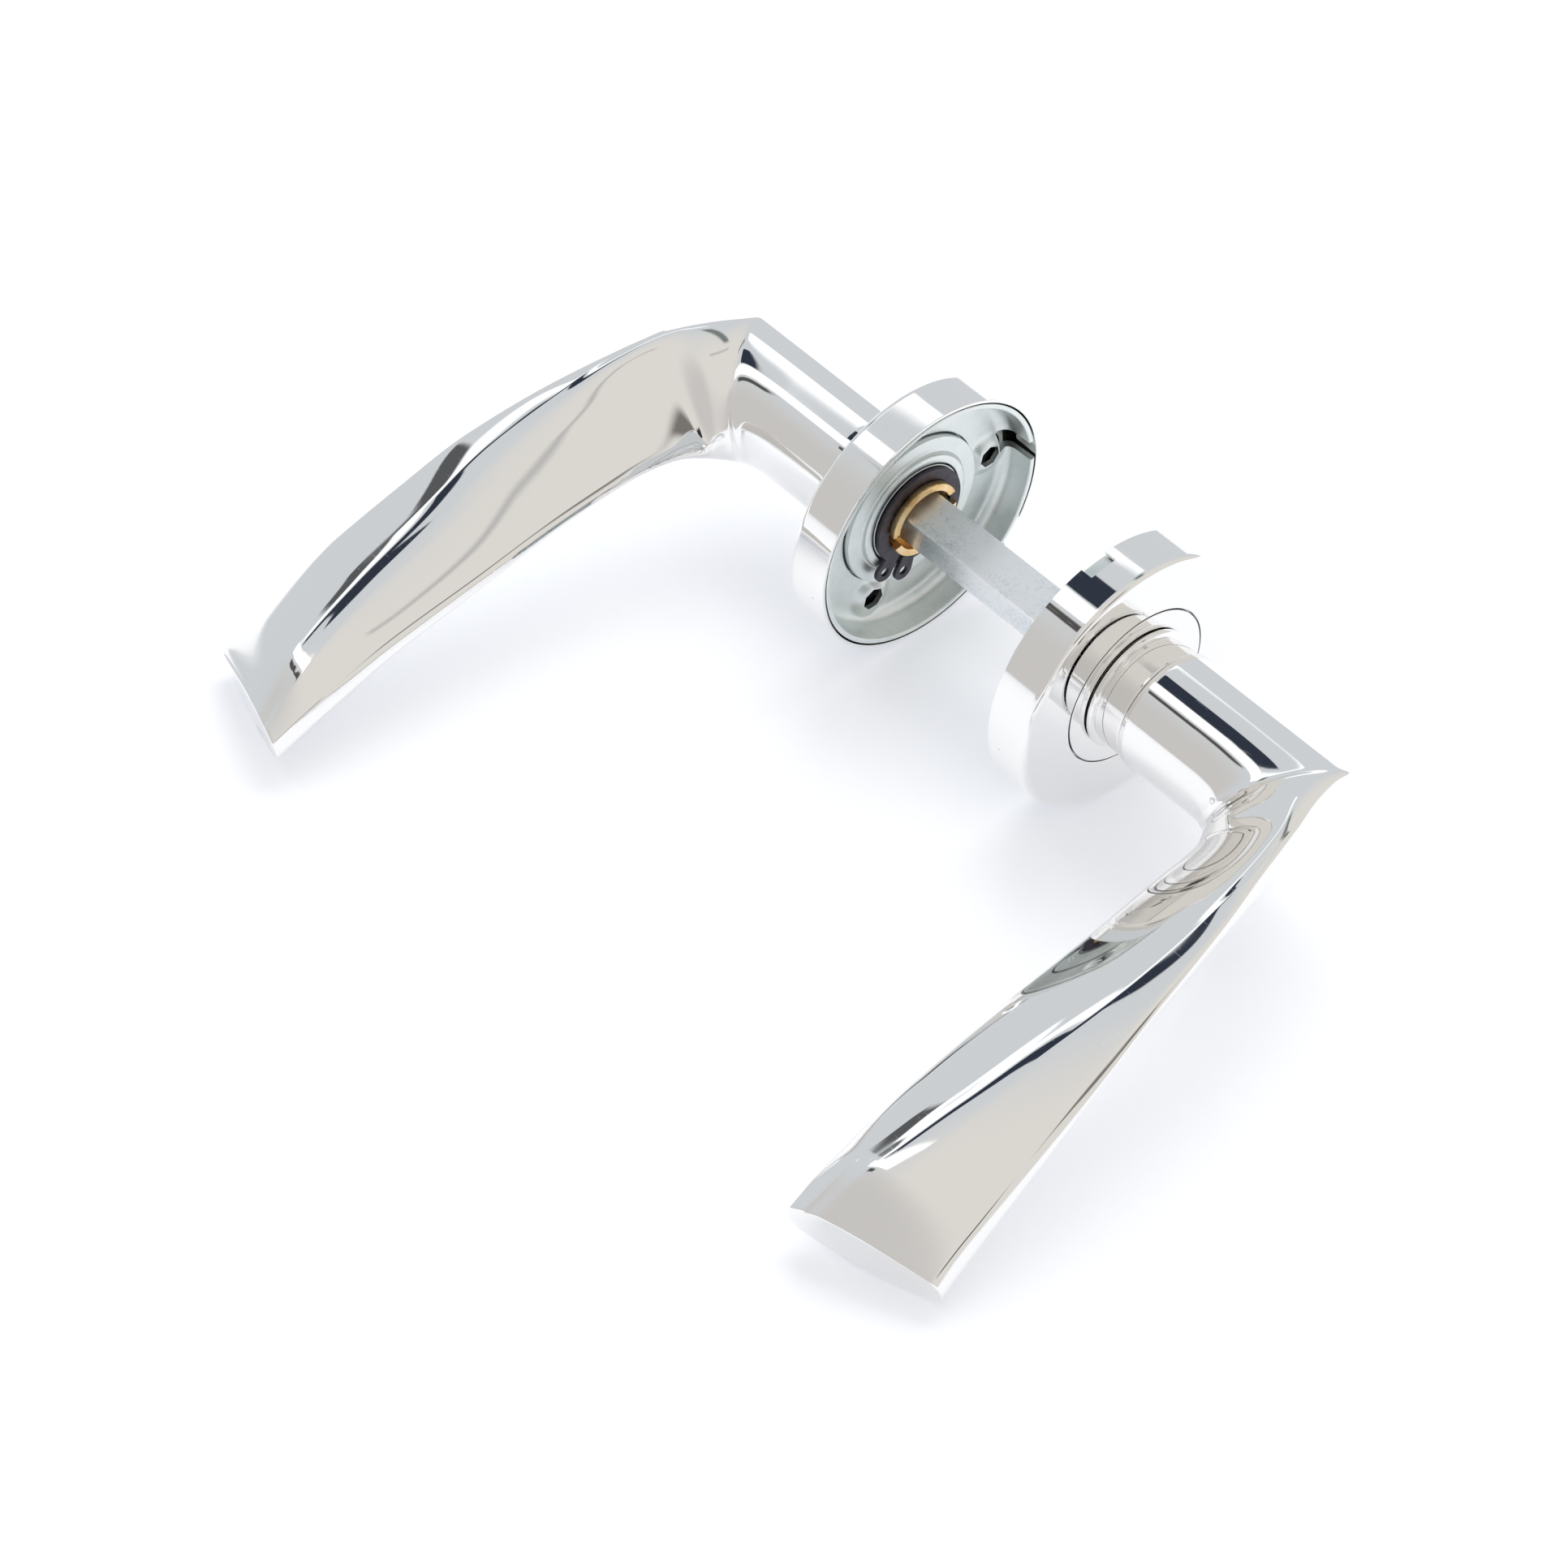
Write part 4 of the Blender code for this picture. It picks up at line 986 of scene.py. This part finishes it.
def spindle():
    """The square bar, with slightly rounded corners and sawn ends."""
    half = SPINDLE_SIDE / 2
    outline = []
    for corner in range(4):
        middle = 45.0 + 90.0 * corner
        centre = Vector((cos(radians(middle)), sin(radians(middle)))) * sqrt(2.0) * (half - SPINDLE_EDGE)
        outline += arc(SPINDLE_EDGE, middle - 45.0, middle + 45.0, SPINDLE_EDGE_POINTS, centre)
    full_end = SPINDLE_HALF_LENGTH - SPINDLE_END_CHAMFER
    stations = [(-SPINDLE_HALF_LENGTH, SPINDLE_END_CHAMFER), (-full_end, 0.0),
                (full_end, 0.0), (SPINDLE_HALF_LENGTH, SPINDLE_END_CHAMFER)]
    vertices = []
    for x, inset in stations:
        shrink = 1.0 - inset / half
        vertices += [on_handle(1, (x, y * shrink, z * shrink)) for y, z in outline]
    obj = mesh_piece("square_bar", vertices, looped_faces(len(stations), len(outline)))
    flat_normals(obj)
    add(obj, "handle_a", "spindle", "zinc_spindle")


def handle(side, direction):
    body = f"handle_{side}"
    lever(side, direction)
    add(turned(f"grooved_sleeve_{side}", COLLAR_PROFILE, direction, STEPS_LARGE), body,
        f"neck_collar_{side}", "polished_chrome")
    spindle_socket(side, direction)
    circlip(side, direction)
    add(turned(f"bearing_washer_{side}", WASHER_PROFILE, direction, STEPS_SMALL), body,
        f"thrust_washer_{side}", "zinc_plate")
    spring_driver(side, direction)
    grub_screw(side, direction)


for side, direction in SIDES:
    rose(side, direction)
    handle(side, direction)
spindle()

# ---------------------------------------------------------------- studio

FLOOR_HALF_M = 6.0
FLOOR_COLOUR = (0.93, 0.93, 0.94)
# Painted light: the floor glows faintly bluish, which lightens its shadows and tints them lavender.
PAINTED_SHADOW_LIFT_GLOW = (0.82, 0.88, 1.0)
PAINTED_SHADOW_LIFT_GLOW_STRENGTH = 0.27
FLOOR_SQUARES = 8


def floor():
    bm = bmesh.new()
    bmesh.ops.create_grid(bm, x_segments=FLOOR_SQUARES, y_segments=FLOOR_SQUARES, size=FLOOR_HALF_M)
    mesh = bpy.data.meshes.new("floor")
    bm.to_mesh(mesh)
    bm.free()
    material, _, shader = new_material("floor with painted shadow lift", FLOOR_COLOUR, 0.0, 0.9)
    # This emission is painted light that lightens the shadows on the floor and turns them blue.
    shader.inputs["Emission Color"].default_value = (*PAINTED_SHADOW_LIFT_GLOW, 1.0)
    shader.inputs["Emission Strength"].default_value = PAINTED_SHADOW_LIFT_GLOW_STRENGTH
    shader.inputs["Specular IOR Level"].default_value = 0.1
    mesh.materials.append(material)
    obj = bpy.data.objects.new("floor", mesh)
    bpy.context.scene.collection.objects.link(obj)


# The room by direction, and what lies below the horizon.
ROOM_WEST = (0.66, 0.69, 0.72)
ROOM_EAST = (0.78, 0.755, 0.72)
ROOM_SOUTH = (0.62, 0.605, 0.59)
BELOW = (0.90, 0.91, 0.94)

# Panels on a ceiling one unit up: west and east edge, south and north edge, light, softness.
PANELS = [
    ("front soft box", (-1.0, -0.02), (-0.43, -0.17), (1.35, 1.35, 1.35), 0.02),
    ("gap in the ceiling", (-0.575, -0.41), (-0.145, 0.215), (0.030, 0.038, 0.058), 0.012),
    ("soft box rim", (-0.66, -0.30), (-0.62, -0.50), (0.09, 0.088, 0.085), 0.015),
    ("west beam", (-1.25, -0.85), (-0.06, 0.10), (0.10, 0.105, 0.11), 0.03),
    ("west soft box", (-0.84, -0.64), (-0.16, 0.9), (1.15, 1.17, 1.2), 0.03),
    ("east beam", (0.38, 0.41), (0.0, 0.6), (0.5, 0.5, 0.49), 0.02),
    ("east wall", (1.15, 1.9), (0.05, 0.6), (0.20, 0.19, 0.18), 0.12),
    ("east corner", (1.9, 2.8), (-0.9, -0.1), (0.03, 0.03, 0.03), 0.1),
    ("north rail", (-0.35, 0.25), (0.50, 0.68), (0.20, 0.23, 0.22), 0.05),
]


def smooth_step(tree, value, edge, softness):
    made = node(tree, "ShaderNodeMapRange", {"Value": value, "From Min": edge - softness,
                                             "From Max": edge + softness}, interpolation_type="SMOOTHSTEP")
    return made.outputs["Result"]


def product(tree, first, second):
    return node(tree, "ShaderNodeMath", {0: first, 1: second}, operation="MULTIPLY").outputs[0]


def mixed(tree, share, first, second):
    """One colour over another: each is a socket or a colour."""
    made = node(tree, "ShaderNodeMix", data_type="RGBA")
    for index, value in ((0, share), (6, first), (7, second)):
        if isinstance(value, bpy.types.NodeSocket):
            tree.links.new(value, made.inputs[index])
        else:
            made.inputs[index].default_value = (*value, 1.0)
    return made.outputs[2]


def studio_world():
    """A pale room, warmer in the east, under a ceiling of soft boxes, beams and a dark gap."""
    world = bpy.data.worlds.new("studio")
    bpy.context.scene.world = world
    world.use_nodes = True
    tree = world.node_tree
    background = tree.nodes["Background"]
    way = node(tree, "ShaderNodeTexCoord").outputs["Generated"]
    east, north, up = node(tree, "ShaderNodeSeparateXYZ", {0: way}).outputs
    light = mixed(tree, smooth_step(tree, east, 0.0, 0.35), ROOM_WEST, ROOM_EAST)
    southward = node(tree, "ShaderNodeMath", {0: north, 1: -1.0}, operation="MULTIPLY").outputs[0]
    light = mixed(tree, smooth_step(tree, southward, 0.55, 0.25), light, ROOM_SOUTH)
    above = smooth_step(tree, up, 0.06, 0.05)
    height = node(tree, "ShaderNodeMath", {0: up, 1: 0.02}, operation="MAXIMUM").outputs[0]
    u = node(tree, "ShaderNodeMath", {0: east, 1: height}, operation="DIVIDE").outputs[0]
    v = node(tree, "ShaderNodeMath", {0: north, 1: height}, operation="DIVIDE").outputs[0]
    for _, (west_edge, east_edge), (south_edge, north_edge), colour, softness in PANELS:
        inside = above
        for value, low, high in ((u, west_edge, east_edge), (v, south_edge, north_edge)):
            inside = product(tree, inside, smooth_step(tree, value, low, softness))
            past = smooth_step(tree, value, high, softness)
            before = node(tree, "ShaderNodeMath", {0: 1.0, 1: past}, operation="SUBTRACT").outputs[0]
            inside = product(tree, inside, before)
        light = mixed(tree, inside, light, colour)
    light = mixed(tree, smooth_step(tree, up, 0.0, 0.02), BELOW, light)
    tree.links.new(light, background.inputs["Color"])
    background.inputs["Strength"].default_value = 1.0


KEY_SIZE_M = (1.6, 1.2)
KEY_PLACE_M = Vector((-0.5, 0.9, 1.6))
KEY_POWER = 12.0
KEY_COLOUR = (1.0, 0.99, 0.97)


def key_light():
    """A large soft box overhead for the contact shadows."""
    light = bpy.data.lights.new("soft box", "AREA")
    light.shape = "RECTANGLE"
    light.size, light.size_y = KEY_SIZE_M
    light.energy = KEY_POWER
    light.color = KEY_COLOUR
    obj = bpy.data.objects.new("soft box", light)
    obj.location = KEY_PLACE_M
    obj.rotation_euler = (-KEY_PLACE_M).to_track_quat("-Z", "Y").to_euler()
    obj.visible_glossy = False
    bpy.context.scene.collection.objects.link(obj)


CAMERA_PLACE = Vector((457.72, -449.36, 699.41)) * MM
CAMERA_AIM = Vector((4.42, -14.58, 20.0)) * MM
CAMERA_ROLL = radians(2.611)
CAMERA_LENS = 124.69
CAMERA_SENSOR = 36.0


def camera():
    data = bpy.data.cameras.new("camera")
    data.lens = CAMERA_LENS
    data.sensor_width = CAMERA_SENSOR
    data.clip_start = 0.01
    data.clip_end = 50.0
    obj = bpy.data.objects.new("camera", data)
    facing = (CAMERA_AIM - CAMERA_PLACE).to_track_quat("-Z", "Y").to_matrix()
    rolled = facing @ Matrix.Rotation(CAMERA_ROLL, 3, "Z")
    obj.matrix_world = Matrix.Translation(CAMERA_PLACE) @ rolled.to_4x4()
    bpy.context.scene.collection.objects.link(obj)
    bpy.context.scene.camera = obj


floor()
studio_world()
key_light()
camera()
bpy.context.scene.view_settings.view_transform = "Standard"
